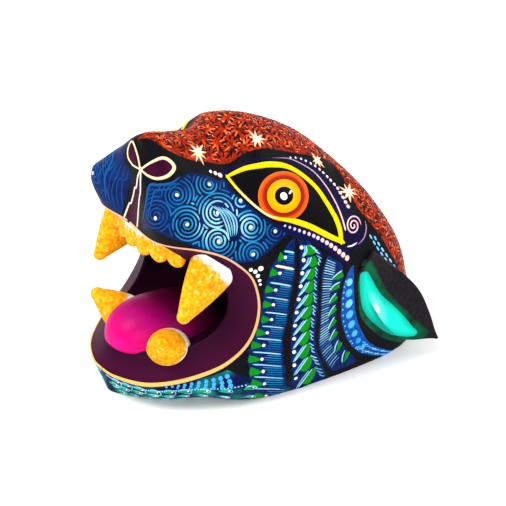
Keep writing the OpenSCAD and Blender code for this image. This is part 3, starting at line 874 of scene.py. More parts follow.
@dataclass
class HeadBlock:
    """The carved block with its painted zones."""

    skin: Skin
    view: QuarterView
    stations: int = 270
    outside: int = 92
    inside: int = 44
    furthest: float = 6.0

    def grid(self) -> tuple[np.ndarray, np.ndarray, np.ndarray, np.ndarray]:
        """The closed skin: each station is a ring from the lip over the outside to the far
        lip and back through the mouth. At the first and last station both sides share
        their points.

        Returns:
            Points, quads, and s and signed v of every point (v below 0 in the mouth, s
            below 0 on the far side).
        """
        out_v = np.linspace(0, 1, self.outside + 1)
        in_v = np.linspace(0, 1, self.inside + 1)
        ring_v = np.concatenate([out_v, out_v[-2::-1], -in_v[1:], -in_v[-2:0:-1]])
        far = np.concatenate([np.zeros(self.outside + 1), np.ones(self.outside),
                              np.ones(self.inside - 1), np.zeros(self.inside)]).astype(bool)
        s = np.linspace(0, LAST_RIB, self.stations + 1)
        ring = len(ring_v)
        s_all, v_all = np.meshgrid(s, ring_v, indexing="ij")
        outer = self.skin.outer(s_all.ravel(), np.maximum(v_all.ravel(), 0))
        inner = self.skin.inner(s_all.ravel(), np.maximum(-v_all.ravel(), 0))
        points = np.where(v_all.reshape(-1, 1) >= 0, outer, inner)
        far_all = np.tile(far, len(s))
        points[:, 0] *= np.where(far_all, -1, 1)
        numbers = np.arange(len(points)).reshape(len(s), ring)
        same = np.arange(ring)
        same[self.outside + 1:2 * self.outside + 1] = np.arange(self.outside - 1, -1, -1)
        mouth = np.arange(2 * self.outside + 1, ring)
        near_mouth = (ring + 2 * self.outside - mouth) % ring
        same[mouth[:self.inside - 1]] = near_mouth[:self.inside - 1]
        for end in (0, -1):
            numbers[end] = numbers[end][same]
        a, b = numbers[:-1], np.roll(numbers[:-1], -1, axis=1)
        d, c = numbers[1:], np.roll(numbers[1:], -1, axis=1)
        quads = np.stack([a, d, c, b], -1).reshape(-1, 4)
        used, packed = np.unique(quads, return_inverse=True)
        s_signed = np.where(far_all, -s_all.ravel(), s_all.ravel())
        return points[used], packed.reshape(-1, 4), s_signed[used], v_all.ravel()[used]

    def zones(self) -> dict[str, tuple[np.ndarray, bool]]:
        """Outline of each painted zone in s and v, and whether both sides have it."""
        carry = self.view.onto_skin

        def drawn(outline: Pairs | np.ndarray) -> np.ndarray:
            """A closed outline of the drawing, smoothed and carried onto the skin."""
            return carry(smooth_path(outline, 1.2, closed=True))

        eye = np.vstack([smooth_path(EYE_TOP, 1.2), smooth_path((EYE_TOP[-1], *EYE_BOTTOM,
                                                                  EYE_TOP[0]), 1.2)[1:-1]])
        jaw = np.array([[10.75, 0.05], [12, 0.045], [13.5, 0.05], [15.3, 0.05], [15.3, 1.1],
                        [9.4, 1.1], [9.6, 0.9], [10.35, 0.55], [10.6, 0.3]])
        return {
            "crown": (crown_outline(), True),
            "muzzle": (drawn(MUZZLE_EDGE), True),
            "lid": (drawn(LID_EDGE), True),
            "under_eye": (drawn(UNDER_EYE), True),
            "eye": (carry(eye), True),
            "cheek": (carry(FRONT_COLUMN.outline()), True),
            "cheek_middle": (carry(MIDDLE_COLUMN.outline()), True),
            "cheek_back": (carry(BACK_COLUMN.outline()), True),
            "border": (carry(EAR_BORDER.outline()), True),
            "jaw": (jaw, True),
            "ear_ring": (drawn(EAR_RING), True),
            "ear_green": (drawn(EAR_GREEN), True),
            "ear_leaf": (drawn(EAR_LEAF), True),
            "nose": (np.array(NOSE_EDGE), False),
            "petal": (drawn(NEAR_PETAL), False),
            "far_petal": (drawn(FAR_PETAL), False),
            "philtrum": (np.array(NEAR_LINE + FAR_LINE[::-1]), False),
            "far_pad": (np.array(FAR_PAD), False),
        }

    def marks(self, s: np.ndarray, v: np.ndarray) -> dict[str, np.ndarray]:
        """Signed distance in millimetres to each zone's outline, and how deep in the mouth
        each point is."""
        outside = v >= 0
        reach = self.skin.reach(np.abs(s[outside]), v[outside])
        marks = {}
        for name, (outline, both) in self.zones().items():
            values = np.full(len(s), -self.furthest)
            own_s = np.abs(s[outside]) if both else s[outside]
            found = signed_distance(np.column_stack([own_s, v[outside]]), outline, reach)
            values[outside] = np.clip(found, -self.furthest, self.furthest)
            marks[name] = values
        marks["columns"] = np.maximum.reduce([marks.pop("cheek"), marks.pop("cheek_middle"),
                                              marks.pop("cheek_back")])
        marks["petals"] = np.maximum.reduce([marks.pop("petal"), marks.pop("far_petal"),
                                             marks.pop("philtrum")])
        marks["muzzle"] = np.maximum(marks["muzzle"], marks.pop("far_pad"))
        marks["mouth"] = np.where(outside, 0.0, -v)
        marks["upper"] = np.clip((9.6 - np.abs(s)) / 0.8, 0, 1)
        return marks

    def paint(self) -> bpy.types.Material:
        """Zones laid over one another, each with its own uneven paint, and painted shade inside the
        mouth.
        """
        g = Graph("head_paint")
        edge = 0.13
        fine, broad, grain = g.noise(700, 4.0), g.noise(120, 3.0), g.noise(2600, 2.0)

        def zone(name: str, inset: float = 0.0) -> Value:
            """1 inside a zone and 0 outside, with a brushed edge."""
            wobble = (fine - 0.5) * 0.5
            return (g.mark(name) + wobble - inset).step(-edge, edge)

        def tones(low: Tone, high: Tone, by: Value) -> Value:
            """A mix of two of the painter's colours."""
            return g.mix(low.ink, high.ink, by)

        colour = tones(Tone.BLACK, Tone.CHARCOAL, fine.step(0.35, 0.7))
        colour = g.mix(colour, tones(Tone.NAVY, Tone.TEAL, broad.step(0.45, 0.8)), zone("jaw"))
        red = tones(Tone.DARK_RED, Tone.RED, fine.step(0.3, 0.55))
        red = g.mix(red, Tone.ORANGE.ink, broad.step(0.5, 0.75) * fine.step(0.4, 0.7))
        red = g.mix(red, Tone.BROWN.ink, g.noise(330, 5.0).step(0.5, 0.62) * 0.9)
        colour = g.mix(colour, red, zone("crown"))
        colour = g.mix(colour, tones(Tone.NAVY, Tone.DEEP_BLUE, broad.step(0.4, 0.7)), zone("muzzle"))
        colour = g.mix(colour, Tone.LID.ink, zone("lid"))
        colour = g.mix(colour, tones(Tone.NAVY, Tone.LID, broad), zone("under_eye"))
        blue = tones(Tone.NAVY, Tone.DEEP_BLUE, fine.step(0.3, 0.6))
        colour = g.mix(colour, blue, zone("columns"))
        colour = g.mix(colour, g.mix(ink("083c8c"), ink("1268b8"), fine.step(0.4, 0.8)),
                       zone("border"))
        colour = g.mix(colour, tones(Tone.BLACK, Tone.CHARCOAL, fine), zone("ear_ring"))
        green = g.mix(ink("02301f"), ink("045a3c"), broad.step(0.35, 0.65))
        colour = g.mix(colour, green, zone("ear_green"))
        leaf = g.mix(ink("00a892"), ink("0fd0ba"), g.mark("ear_leaf").step(0.2, 3.0))
        colour = g.mix(colour, leaf, zone("ear_leaf"))
        colour = g.mix(colour, Tone.BLACK.ink, zone("eye"))
        colour = g.mix(colour, tones(Tone.BLACK, Tone.CHARCOAL, fine), zone("nose"))
        colour = g.mix(colour, tones(Tone.DARK_PURPLE, Tone.PURPLE, fine.step(0.3, 0.6)), zone("petals"))
        # Painted shade of the mouth's hollow: the purple band darkens with depth and turns black deep
        # behind the upper lip.
        mouth = g.mark("mouth")
        band = tones(Tone.PURPLE, Tone.DARK_PURPLE, mouth.step(0.1, 0.45))
        band = g.mix(band, Tone.BLACK.ink, mouth.step(0.36, 0.44) * g.mark("upper"))
        colour = g.mix(colour, band, mouth.step(0.0005, 0.002))
        return g.surface(colour, Finish(), roughness=0.36 + 0.22 * fine, bump=fine + grain * 0.6)

    def build(self) -> None:
        """Makes the block in place of its node."""
        points, quads, s, v = self.grid()
        piece = make_piece("painted_head", points * self.skin.scale, [quads],
                           marks=self.marks(s, v))
        dress(piece, self.paint())
        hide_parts("head_block")


# ---------------------------------------------------------------- painted details
@dataclass
class LipLine:
    """The gold line all round the mouth."""

    skin: Skin
    samples: int = 420

    def build(self) -> bpy.types.Object:
        """A line on the lip's edge, thin and tan above, broad and gold below."""
        brush = Brush(self.skin, height=0.3)
        s = np.linspace(0.02, LAST_RIB - 0.02, self.samples)
        share = np.clip((s - 5.5) / 5.0, 0, 1)
        width = 1.15 + 0.85 * share
        tint = blend(Tone.TAN.ink, Tone.GOLD.ink, share)
        path = np.column_stack([s, np.full(len(s), 0.012)])
        brush.stroke(path, width, tint, taper=(0.001, 0.001))
        return brush.finish("lip_line", "painted_head")


@dataclass(frozen=True)
class Swirl:
    """A spiral of the muzzle: its middle, how far it reaches and which way it turns."""

    x: float
    y: float
    reach: float
    turn: int = 1
    start: float = 0.0


@dataclass
class MuzzlePaint:
    """Spirals of blue strokes over the muzzle, brightest in the middle, where a highlight is painted
    into the strokes' colour.
    """

    skin: Skin
    view: QuarterView
    pitch: float = 1.58
    step: float = 0.45
    bright_at: tuple[float, float] = (-1.5, 5.5)
    longest: int = 46
    shortest: int = 5
    swirls: tuple[Swirl, ...] = (
        Swirl(-21, 16.8, 3.5, 1, 2.0), Swirl(-30, 8, 5.0, -1, 0.5), Swirl(-16.5, 4, 6.2, 1, 3.5),
        Swirl(-3.5, 9, 7.2, -1, 2.6), Swirl(-3, -3.2, 6.0, 1, 1.0), Swirl(11, 3, 6.2, 1, 0.2),
        Swirl(12, -8.8, 5.2, -1, 1.8), Swirl(21.5, 1.2, 3.6, 1, 2.2), Swirl(6.5, 14.5, 2.4, 1, 0.8),
        Swirl(-7, 21.5, 2.2, -1, 0.0),
    )

    def light(self, places: np.ndarray) -> np.ndarray:
        """Painted highlight: how pale the strokes are, falling with the distance from the brightest
        place.
        """
        away = np.hypot(places[:, 0] - self.bright_at[0], (places[:, 1] - self.bright_at[1]) * 1.3)
        return np.exp(-((away / 17.0) ** 2))

    def spiral(self, swirl: Swirl) -> np.ndarray:
        """An Archimedean spiral: its radius grows by one pitch with each turn, and it is a
        little taller than it is wide."""
        last = 14.0
        turns = np.linspace(0.25, last / self.pitch, 900)
        angle = swirl.start + swirl.turn * 2 * np.pi * turns
        radius = self.pitch * turns
        path = np.column_stack([swirl.x + radius * np.cos(angle),
                                swirl.y + 1.06 * radius * np.sin(angle)])
        run = np.append(0, np.cumsum(np.hypot(*np.diff(path, axis=0).T)))
        even = np.arange(0, run[-1], self.step)
        return np.column_stack([np.interp(even, run, path[:, k]) for k in range(2)])

    def build(self) -> list[bpy.types.Object]:
        """Strokes of every spiral where it is the nearest one, cut at the zone's edge."""
        rng = np.random.default_rng(7)
        brush = Brush(self.skin, height=0.17)
        edge = smooth_path(MUZZLE_EDGE, 1.0, closed=True)
        falls = smooth_path(TAIL_EDGE, 1.0, closed=True)
        middles = np.array([[w.x, w.y] for w in self.swirls])
        reaches = np.array([w.reach for w in self.swirls])
        for k, swirl in enumerate(self.swirls):
            path = self.spiral(swirl)
            away = np.hypot(*(path[:, None] - middles[None]).transpose(2, 0, 1)) - reaches
            keep = (away.argmin(1) == k) & (signed_distance(path, edge) > 0.7)
            keep &= signed_distance(path, falls) < -0.2
            lit = self.light(path)
            on_skin = self.view.onto_skin(path)
            for stretch in runs(keep, self.shortest):
                for start in range(stretch.start, stretch.stop, self.longest):
                    stop = min(stretch.stop, start + self.longest)
                    if stop - start < self.shortest:
                        continue
                    cut = slice(start, stop)
                    # Painted highlight: strokes near the brightest place turn sky and ice, and far ones
                    # turn deep blue.
                    glow = np.clip(lit[cut] * 1.15 + rng.normal(0, 0.13), 0, 1)
                    tint = blend(Tone.MID_BLUE.ink, Tone.SKY.ink, np.clip(glow * 1.9, 0, 1))
                    tint = blend(tint, Tone.ICE.ink, np.clip((glow - 0.55) * 1.7, 0, 1))
                    tint = blend(tint, Tone.DEEP_BLUE.ink, np.clip(0.35 - glow, 0, 1))
                    width = 0.78 + 0.32 * glow + rng.uniform(-0.15, 0.15)
                    brush.stroke(on_skin[cut], width, tint, taper=(0.12, 0.12))
        tints = np.array([blend(Tone.SKY.ink, Tone.WHITE.ink, 0.8)] * len(middles))
        brush.dots(self.view.onto_skin(middles), 0.85, tints, lift=0.12)
        self.outline_strokes(brush)
        piece = brush.finish("muzzle_swirls", "painted_head")
        return [piece, self.tails(rng), self.far_strokes(rng)]

    def tails(self, rng: np.random.Generator) -> bpy.types.Object:
        """Long bright strokes that fall side by side from the brightest spirals."""
        brush = Brush(self.skin, height=0.24)
        for k in range(5):
            shift = 1.6 * k
            path = smooth_path(((-6.5 + shift, 12.5 - 0.3 * k), (-2.5 + shift, 9.5 - 0.5 * k),
                                (0.2 + 0.75 * shift, 4), (1.6 + 0.5 * shift, -1.5 + 0.25 * k)), 0.5)
            tint = blend(Tone.SKY.ink, Tone.ICE.ink, rng.uniform(0.35, 0.9))
            brush.stroke(self.view.onto_skin(path), rng.uniform(0.75, 1.0), tint, taper=(0.3, 0.3))
        return brush.finish("muzzle_tails", "painted_head")

    def far_strokes(self, rng: np.random.Generator) -> bpy.types.Object:
        """Wavy upright strokes on the far pad, beside the nose."""
        brush = Brush(self.skin, height=0.17)
        v = np.linspace(0.08, 0.66, 40)
        for k, s in enumerate(np.arange(-0.28, -0.95, -0.125)):
            lean = 0.55 * np.clip((v - 0.2) / 0.45, 0, 1) * max(0.0, 1 - 0.25 * k)
            path = np.column_stack([s + 0.3 * lean + 0.03 * np.sin(14 * v + k), v])
            tint = blend(Tone.MID_BLUE.ink, Tone.DEEP_BLUE.ink, rng.uniform(0, 0.7))
            brush.stroke(path, rng.uniform(0.6, 0.85), tint, taper=(0.2, 0.2))
        return brush.finish("far_pad_strokes", "painted_head", mirror=False)

    def outline_strokes(self, brush: Brush) -> None:
        """Plain blue strokes that follow the nose."""
        for inset, width in ((0.0, 1.5), (2.3, 0.9)):
            path = np.array([(-36.2 + inset, 5.5), (-34.6 + inset, 13), (-33 + inset, 20.8 - inset),
                             (-29, 21.2 - inset), (-23.5, 22 - inset), (-19.5, 25 - inset)])
            brush.stroke(self.view.onto_skin(smooth_path(path, 0.7)), width, Tone.MID_BLUE.ink)


@dataclass
class EyePaint:
    """The eye: yellow outline, ringed iris with its glints, and the rows of dots round it."""

    skin: Skin
    view: QuarterView
    middle: tuple[float, float] = (25.0, 16.5)
    iris: float = 10.9

    def disc(self, rings: Sequence[tuple[float, np.ndarray]], height: float) -> bpy.types.Object:
        """The iris as a shallow dome laid on the skin.

        A point at radius r stands height * (1 - (r / R)^2) over the skin. Each colour has
        two radii almost together where it gives way to the next.

        Args:
            rings: radius and colour, from the middle out.
            height: height of the dome's middle.
        """
        sides = 72
        turn = 2 * np.pi * np.arange(sides) / sides
        radii = np.array([r for r, _ in rings])
        places = (np.array(self.middle)
                  + radii[:, None, None] * np.stack([np.cos(turn), np.sin(turn)], -1)[None])
        found = self.view.onto_skin(np.vstack([places.reshape(-1, 2), [self.middle]]))
        base, out = self.skin.outer(*found.T), self.skin.outward(*found.T)
        rise = np.append(np.repeat(height * (1 - (radii / radii[-1]) ** 2) + 0.12, sides),
                         height + 0.12)
        rise[-1 - sides:-1] = -0.3
        points = base + out * rise[:, None]
        floor = base[-1] - out[-1] * 0.8
        tint = np.vstack([np.repeat([t for _, t in rings], sides, axis=0), [rings[0][1]]])
        quads = tube_faces(len(rings), sides)
        top = fan_faces(np.arange(sides), len(points) - 1)[:, ::-1]
        last = sides * (len(rings) - 1)
        under = fan_faces(np.arange(last, last + sides), len(points))
        points = np.vstack([points, floor])
        tint = np.vstack([tint, rings[-1][1]])
        quads = quads[:, ::-1]
        both = np.vstack([points, points * [-1, 1, 1]])
        n = len(points)
        triangles = np.vstack([top, under])
        piece = make_piece("iris", both * self.skin.scale,
                           [np.vstack([quads, quads[:, ::-1] + n]),
                            np.vstack([triangles, triangles[:, ::-1] + n])],
                           np.vstack([tint, tint]))
        return piece

    def rings(self) -> list[tuple[float, np.ndarray]]:
        """Radii and colours of the iris from the pupil out."""
        gap = 0.05
        bands = [(3.95, ink("0a0a0e"), ink("060609")), (7.25, ink("ffb400"), ink("ff9a00")),
                 (9.1, ink("7d1405"), ink("b02a08")), (self.iris, ink("e0430d"), ink("ff6a1c"))]
        found: list[tuple[float, np.ndarray]] = []
        inner = 0.0
        for outer, first, last in bands:
            for share in (0.0, 0.33, 0.66, 1.0):
                radius = inner + gap + (outer - inner - 2 * gap) * share
                found.append((radius, blend(first, last, share)))
            inner = outer
        found.append((self.iris + 0.1, bands[-1][2]))
        return found

    def build(self) -> list[bpy.types.Object]:
        """The outline, the iris, the glints and the dots."""
        carry = self.view.onto_skin
        brush = Brush(self.skin, height=0.42)
        top = smooth_path(EYE_TOP, 0.6)
        share = np.linspace(0, 1, len(top))
        wide = np.interp(share, (0, 0.1, 0.3, 0.8, 1), (1.8, 2.6, 3.3, 3.3, 2.6))
        normal = unit(np.gradient(top, axis=0))[:, ::-1] * [1, -1]
        brush.stroke(carry(top + normal * wide[:, None] / 2), wide, Tone.YELLOW.ink,
                     taper=(0.04, 0.03))
        low = smooth_path((EYE_TOP[0], *EYE_BOTTOM[::-1], EYE_TOP[-1]), 0.6)
        share = np.linspace(0, 1, len(low))
        wide = np.interp(share, (0, 0.12, 0.4, 0.62, 0.85, 1), (1.9, 1.5, 1.3, 3.0, 3.3, 2.4))
        tint = blend(Tone.YELLOW.ink, Tone.CREAM.ink,
                     np.interp(share, (0.1, 0.3, 0.42, 0.5), (0, 0.8, 0.8, 0)))
        normal = unit(np.gradient(low, axis=0))[:, ::-1] * [-1, 1]
        brush.stroke(carry(low + normal * wide[:, None] / 3), wide, tint, taper=(0.04, 0.03))
        outline = brush.finish("eye_outline", "painted_head")
        iris = self.disc(self.rings(), 0.7)
        return [outline, iris, self.glints(), self.dots()]

    def glints(self) -> bpy.types.Object:
        """Two white specks on the pupil."""
        brush = Brush(self.skin, height=0.2)
        carry = self.view.onto_skin
        brush.dots(carry([(24.9, 16.3)]), 1.7, Tone.WHITE.ink, sides=24, lift=0.82)
        path = smooth_path(((27.1, 17.2), (27.7, 18), (28.2, 18.8)), 0.2)
        brush.stroke(carry(path), 1.0, Tone.WHITE.ink, lift=0.82)
        return brush.finish("eye_glints", "painted_head")

    def dots(self) -> bpy.types.Object:
        """Rows of dots, the thin pink line over the eye and the spiral that ends it."""
        carry = self.view.onto_skin
        brush = Brush(self.skin, height=0.3)
        rows = ((((25.8, 3.6), (31, 1.9), (36.5, 0.0), (42, -2.6), (46.8, -5.6), (52.6, -10.3)),
                 15, 0.55, 1.25, Tone.LILAC.ink, ink("ffcabd")),
                (((28, 33.4), (31.5, 33.2), (35.5, 31.6), (40, 28.8), (44.5, 24.5), (48.5, 19.8),
                  (53, 12.2)), 16, 0.5, 0.95, Tone.WHITE.ink, ink("f3c9d8")),
                (((-6.5, 27.2), (-4.5, 26.5), (-2.4, 25.6)), 3, 0.75, 1.2, Tone.WHITE.ink,
                 ink("ffd9cf")))
        for guide, count, least, most, first, last in rows:
            path = smooth_path(guide, 0.2)
            pick = np.linspace(0, len(path) - 1, count).round().astype(int)
            share = np.linspace(0, 1, count)
            brush.dots(carry(path[pick]), least + (most - least) * share ** 0.8,
                       blend(first, last, share), sides=14)
        line = smooth_path(((20, 33.2), (27, 33), (33, 30.5), (38.5, 26.8), (43.5, 20.8),
                            (47.6, 13.8), (50.3, 7.4), (52, 1.5)), 0.6)
        share = np.linspace(0, 1, len(line))
        brush.stroke(carry(line), 0.5 + 0.5 * share, blend(ink("8a5aa0"), ink("ffd2cc"), share ** 0.5),
                     taper=(0.2, 0.02))
        turn = np.linspace(0.15, 2.35, 120)
        radius = 1.9 * turn
        spiral = np.column_stack([55.3 - radius * np.cos(2 * np.pi * turn + 0.9) * 0.72,
                                  3.9 + radius * np.sin(2 * np.pi * turn + 0.9)])
        brush.stroke(carry(spiral), 0.85, ink("f9c6cb"), taper=(0.05, 0.08))
        curl = smooth_path(((57.2, -4.6), (59.8, -1.5), (60.8, 2.5), (60.4, 6)), 0.4)
        brush.stroke(carry(curl), 0.6, ink("b98ab5"), taper=(0.4, 0.4))
        curl = smooth_path(((52.6, -5.4), (55, -4.8), (57, -3.4)), 0.4)
        brush.stroke(carry(curl), 0.8, Tone.WHITE.ink, taper=(0.2, 0.4))
        return brush.finish("eye_dots", "painted_head")


@dataclass
class NosePaint:
    """Cream lines round the three purple petals of the nose."""

    skin: Skin
    view: QuarterView

    def build(self) -> bpy.types.Object:
        """One closed line round each side petal and two down the middle one."""
        brush = Brush(self.skin, height=0.28)
        carry = self.view.onto_skin
        near = smooth_path((*NEAR_PETAL, NEAR_PETAL[0]), 0.4)
        share = np.linspace(0, 1, len(near))
        wide = 1.0 + 1.0 * np.sin(np.pi * share) ** 1.5
        brush.stroke(carry(near), wide, blend(Tone.CREAM.ink, Tone.GOLD.ink, 0.2 * share),
                     taper=(0.03, 0.03))
        far = smooth_path((*FAR_PETAL, FAR_PETAL[0]), 0.4)
        brush.stroke(carry(far), 1.0, Tone.CREAM.ink, taper=(0.03, 0.03))
        for line in (NEAR_LINE, FAR_LINE):
            brush.stroke(smooth_path(line, 0.01), 1.05, blend(Tone.CREAM.ink, Tone.WHITE.ink, 0.4),
                         taper=(0.1, 0.02))
        brush.dots(carry([(-36.8, 28)]), 1.1, Tone.CREAM.ink, sides=14)
        return brush.finish("nose_lines", "painted_head", mirror=False)


@dataclass
class CrownPaint:
    """A brocade of rosettes over the forehead, crown and nape, with cream star-bursts."""

    skin: Skin
    view: QuarterView
    pitch: float = 9.0
    stars: Pairs = ((-12, 35.5), (13.5, 41.5), (39.5, 32.2), (53, 18.5))
    edge: np.ndarray = field(default_factory=crown_outline)

    def local(self, place: np.ndarray, offsets: np.ndarray) -> np.ndarray:
        """Offsets in millimetres along and across, as (s, v) round a place."""
        reach = self.skin.reach(place[None, 0], place[None, 1])[0]
        return place + offsets / reach

    def inside(self, path: np.ndarray, margin: float) -> bool:
        """True if a whole path lies in the zone, and on this side of the midline."""
        if path[:, 1].max() > 1.0 or path[:, 1].min() < 0.05:
            return False
        reach = self.skin.reach(*path.T)
        return bool(signed_distance(path, self.edge, reach).min() > margin)

    def middles(self) -> list[np.ndarray]:
        """Rosette middles in rows one pitch apart, every other row shifted by half."""
        s_fine = np.linspace(0.9, 10.0, 400)
        ridge = self.skin.outer(s_fine, np.full(400, 0.93))
        run = np.append(0, np.cumsum(np.linalg.norm(np.diff(ridge, axis=0), axis=1)))
        rows = np.interp(np.arange(2.0, run[-1], self.pitch * 0.62), run, s_fine)
        found = []
        v_fine = np.linspace(1, 0.5, 200)
        for number, s in enumerate(rows):
            rib = self.skin.outer(np.full(200, s), v_fine)
            down = np.append(0, np.cumsum(np.linalg.norm(np.diff(rib, axis=0), axis=1)))
            start = 0.5 * self.pitch if number % 2 else 0.02
            for distance in np.arange(start, down[-1], self.pitch):
                found.append(np.array([s, np.interp(distance, down, v_fine)]))
        return found

    def petal(self, angle: float, near: float, far: float, bend: float) -> np.ndarray:
        """Offsets along a ray at an angle, bowed sideways by a half sine."""
        share = np.linspace(0, 1, 6)
        along = near + (far - near) * share
        side = bend * np.sin(np.pi * share)
        return np.column_stack([along * math.cos(angle) - side * math.sin(angle),
                                along * math.sin(angle) + side * math.cos(angle)])

    def build(self) -> list[bpy.types.Object]:
        """Dark strokes, flame strokes and highlights of every rosette, then the stars."""
        rng = np.random.default_rng(21)
        rosettes = Brush(self.skin, height=0.14)
        flames = (ink("e84a14"), ink("c8340c"), ink("ee6a2c"), ink("9c240a"))
        starred = self.view.onto_skin(self.stars)
        for middle in self.middles():
            if middle[1] > 0.5 and self.inside(middle[None], -1.0):
                spin = rng.uniform(-0.25, 0.25)
                for k in range(8):
                    angle = spin + k * math.pi / 4
                    paths = (
                        (self.petal(angle, 0.9, 3.9, rng.uniform(-0.4, 0.4)),
                         rng.uniform(1.0, 1.5), flames[rng.integers(4)]),
                        (self.petal(angle + 0.39, 1.9, 4.6, rng.uniform(-0.5, 0.5)),
                         rng.uniform(0.9, 1.4), Tone.BROWN.ink),
                        (self.petal(angle + 0.2, 3.0, 4.9, rng.uniform(0.2, 0.7)),
                         rng.uniform(0.35, 0.55), blend(Tone.PINK.ink, flames[2],
                                                       rng.uniform(0.0, 0.9))),
                    )
                    for number, (offsets, width, tint) in enumerate(paths):
                        if number != 1 and rng.random() < 0.35:
                            continue
                        path = self.local(middle, offsets)
                        if self.inside(path, 0.5):
                            rosettes.stroke(path, width, tint, taper=(0.3, 0.5))
        rosette_piece = rosettes.finish("crown_brocade", "painted_head")
        stars = Brush(self.skin, height=0.24)
        for middle in starred:
            tall = rng.uniform(0.9, 1.1)
            for k in range(9):
                angle = k * 2 * math.pi / 9 + rng.uniform(-0.15, 0.15)
                long = tall * rng.uniform(3.4, 6.6)
                path = self.local(middle, self.petal(angle, 0.0, long, rng.uniform(-0.2, 0.2)))
                if path[:, 1].max() < 1.0:
                    stars.stroke(path, rng.uniform(1.2, 1.7), blend(ink("fff1cf"), ink("ffb27a"),
                                                                      np.linspace(0, 0.8, 6)),
                                 taper=(0.02, 0.9), lift=0.1)
            stars.dots(middle[None], 1.3, ink("fff6e0"), sides=12, lift=0.18)
        return [rosette_piece, stars.finish("crown_stars", "painted_head")]


@dataclass
class CheekPaint:
    """Rows of strokes, leaves and dots down the three strips of the cheek."""

    skin: Skin
    view: QuarterView

    def leaf(self, brush: Brush, column: Column, corners: Pairs, tint: np.ndarray,
             width: float = 5.4) -> None:
        """A green leaf: a broad stroke from its foot to its point, in shares of the strip."""
        down, across = np.array(corners).T
        path = smooth_path(column.at(down, across), 0.35)
        wide = width * np.linspace(1, 0.25, len(path))
        brush.stroke(self.view.onto_skin(path), wide, tint, taper=(0.02, 0.4))

    def line(self, brush: Brush, column: Column, corners: Pairs, width: float, tint: np.ndarray,
             lift: float = 0.05) -> None:
        """A stroke through places of a strip."""
        down, across = np.array(corners).T
        path = smooth_path(column.at(down, across), 0.4)
        brush.stroke(self.view.onto_skin(path), width, tint, taper=(0.15, 0.2), lift=lift)

    def front(self, brush: Brush, rng: np.random.Generator) -> None:
        """Fine level strokes to the right, a dot and a green leaf to the left."""
        tops = (0.085, 0.19, 0.295, 0.385, 0.475, 0.56, 0.64, 0.725, 0.80, 0.875, 0.945)
        column = FRONT_COLUMN
        for number, top in enumerate(tops):
            tall = 0.088
            pale = blend(Tone.ICE.ink, Tone.SKY.ink, rng.uniform(0.0, 0.35))
            self.line(brush, column, ((top, 0.14), (top, 0.5), (top + 0.003, 0.97)),
                      0.95 if number < 3 else 0.7, pale)
            for k in range(1, 6):
                down = top + tall * k / 6.3
                start = rng.uniform(0.40, 0.56)
                tint = blend(Tone.SKY.ink, Tone.MID_BLUE.ink, min(1.0, k / 5 + rng.uniform(-0.2, 0.2)))
                self.line(brush, column, ((down, start), (down + 0.002, 0.75), (down, 0.97)),
                          0.5, tint)
            dot = column.at([top + 0.45 * tall], [0.42])
            brush.dots(self.view.onto_skin(dot), 0.75, Tone.WHITE.ink, lift=0.1)
            green = blend(Tone.GREEN.ink, ink("0c6e2a"), rng.uniform(0, 0.5))
            self.leaf(brush, column, ((top + 0.5 * tall, 0.04), (top + 0.5 * tall, 0.2),
                                      (top + 0.5 * tall, 0.4)), green)
        self.line(brush, column, ((0.19, 0.16), (0.19, 0.5), (0.192, 0.97)), 1.2, Tone.CREAM.ink, 0.12)

    def middle(self, brush: Brush, rng: np.random.Generator) -> None:
        """White double arcs and dots to the left, large green scales in the middle and pale
        hatching to the right. The scales lean more towards the bottom."""
        column = MIDDLE_COLUMN
        tall = 0.086
        for number, top in enumerate(np.linspace(0.03, 0.9, 11)):
            lean = 0.02 * number
            brush.dots(self.view.onto_skin(column.at([top + 0.25 * tall], [0.14])), 0.9,
                       Tone.WHITE.ink, lift=0.1)
            green = blend(Tone.GREEN.ink, ink("0a7a2c"), rng.uniform(0, 0.5))
            self.leaf(brush, column, ((top + 0.98 * tall, 0.55 - lean), (top + 0.6 * tall, 0.6),
                                      (top + 0.02 * tall, 0.64 + lean)), green, 7.2)
            self.line(brush, column, ((top + 1.04 * tall, 0.26 - lean), (top + 1.08 * tall, 0.6),
                                      (top + 1.0 * tall, 0.9)), 0.5, Tone.NAVY.ink, 0.12)
            for shift in (0.0, 0.11):
                tint = blend(Tone.ICE.ink, Tone.SKY.ink, shift * 4)
                self.line(brush, column, ((top + 0.1 * tall, 0.5 - shift + lean),
                                          (top + 0.6 * tall, 0.38 - shift),
                                          (top + 1.0 * tall, 0.14 - shift / 2)), 0.7, tint, 0.12)
            for k in range(3):
                down = top + tall * (0.1 + 0.28 * k)
                self.line(brush, column, ((down, 0.76 + 0.04 * k), (down + 0.02, 0.86),
                                          (down + 0.035, 0.95)),
                          0.55, blend(Tone.ICE.ink, Tone.SKY.ink, rng.uniform(0, 0.7)), 0.12)

    def back(self, brush: Brush, rng: np.random.Generator) -> None:
        """Pale hatching to the left that grows steeper, green leaves edged in white to the
        right."""
        column = BACK_COLUMN
        for down in np.arange(0.03, 0.9, 0.021):
            slant = 0.005 + 0.075 * down
            tint = blend(Tone.ICE.ink, Tone.MID_BLUE.ink, rng.uniform(0.1, 0.95))
            self.line(brush, column, ((down + slant, 0.05), (down + slant / 2, 0.3), (down, 0.58)),
                      0.5, tint)
        for top in np.linspace(0.1, 0.88, 8):
            green = blend(Tone.GREEN.ink, ink("0c6e2a"), rng.uniform(0, 0.5))
            self.leaf(brush, column, ((top - 0.01, 0.97), (top + 0.03, 0.82), (top + 0.08, 0.56)),
                      green, 3.8)
            self.line(brush, column, ((top - 0.035, 0.93), (top + 0.015, 0.7), (top + 0.075, 0.5)),
                      0.65, Tone.ICE.ink, 0.14)

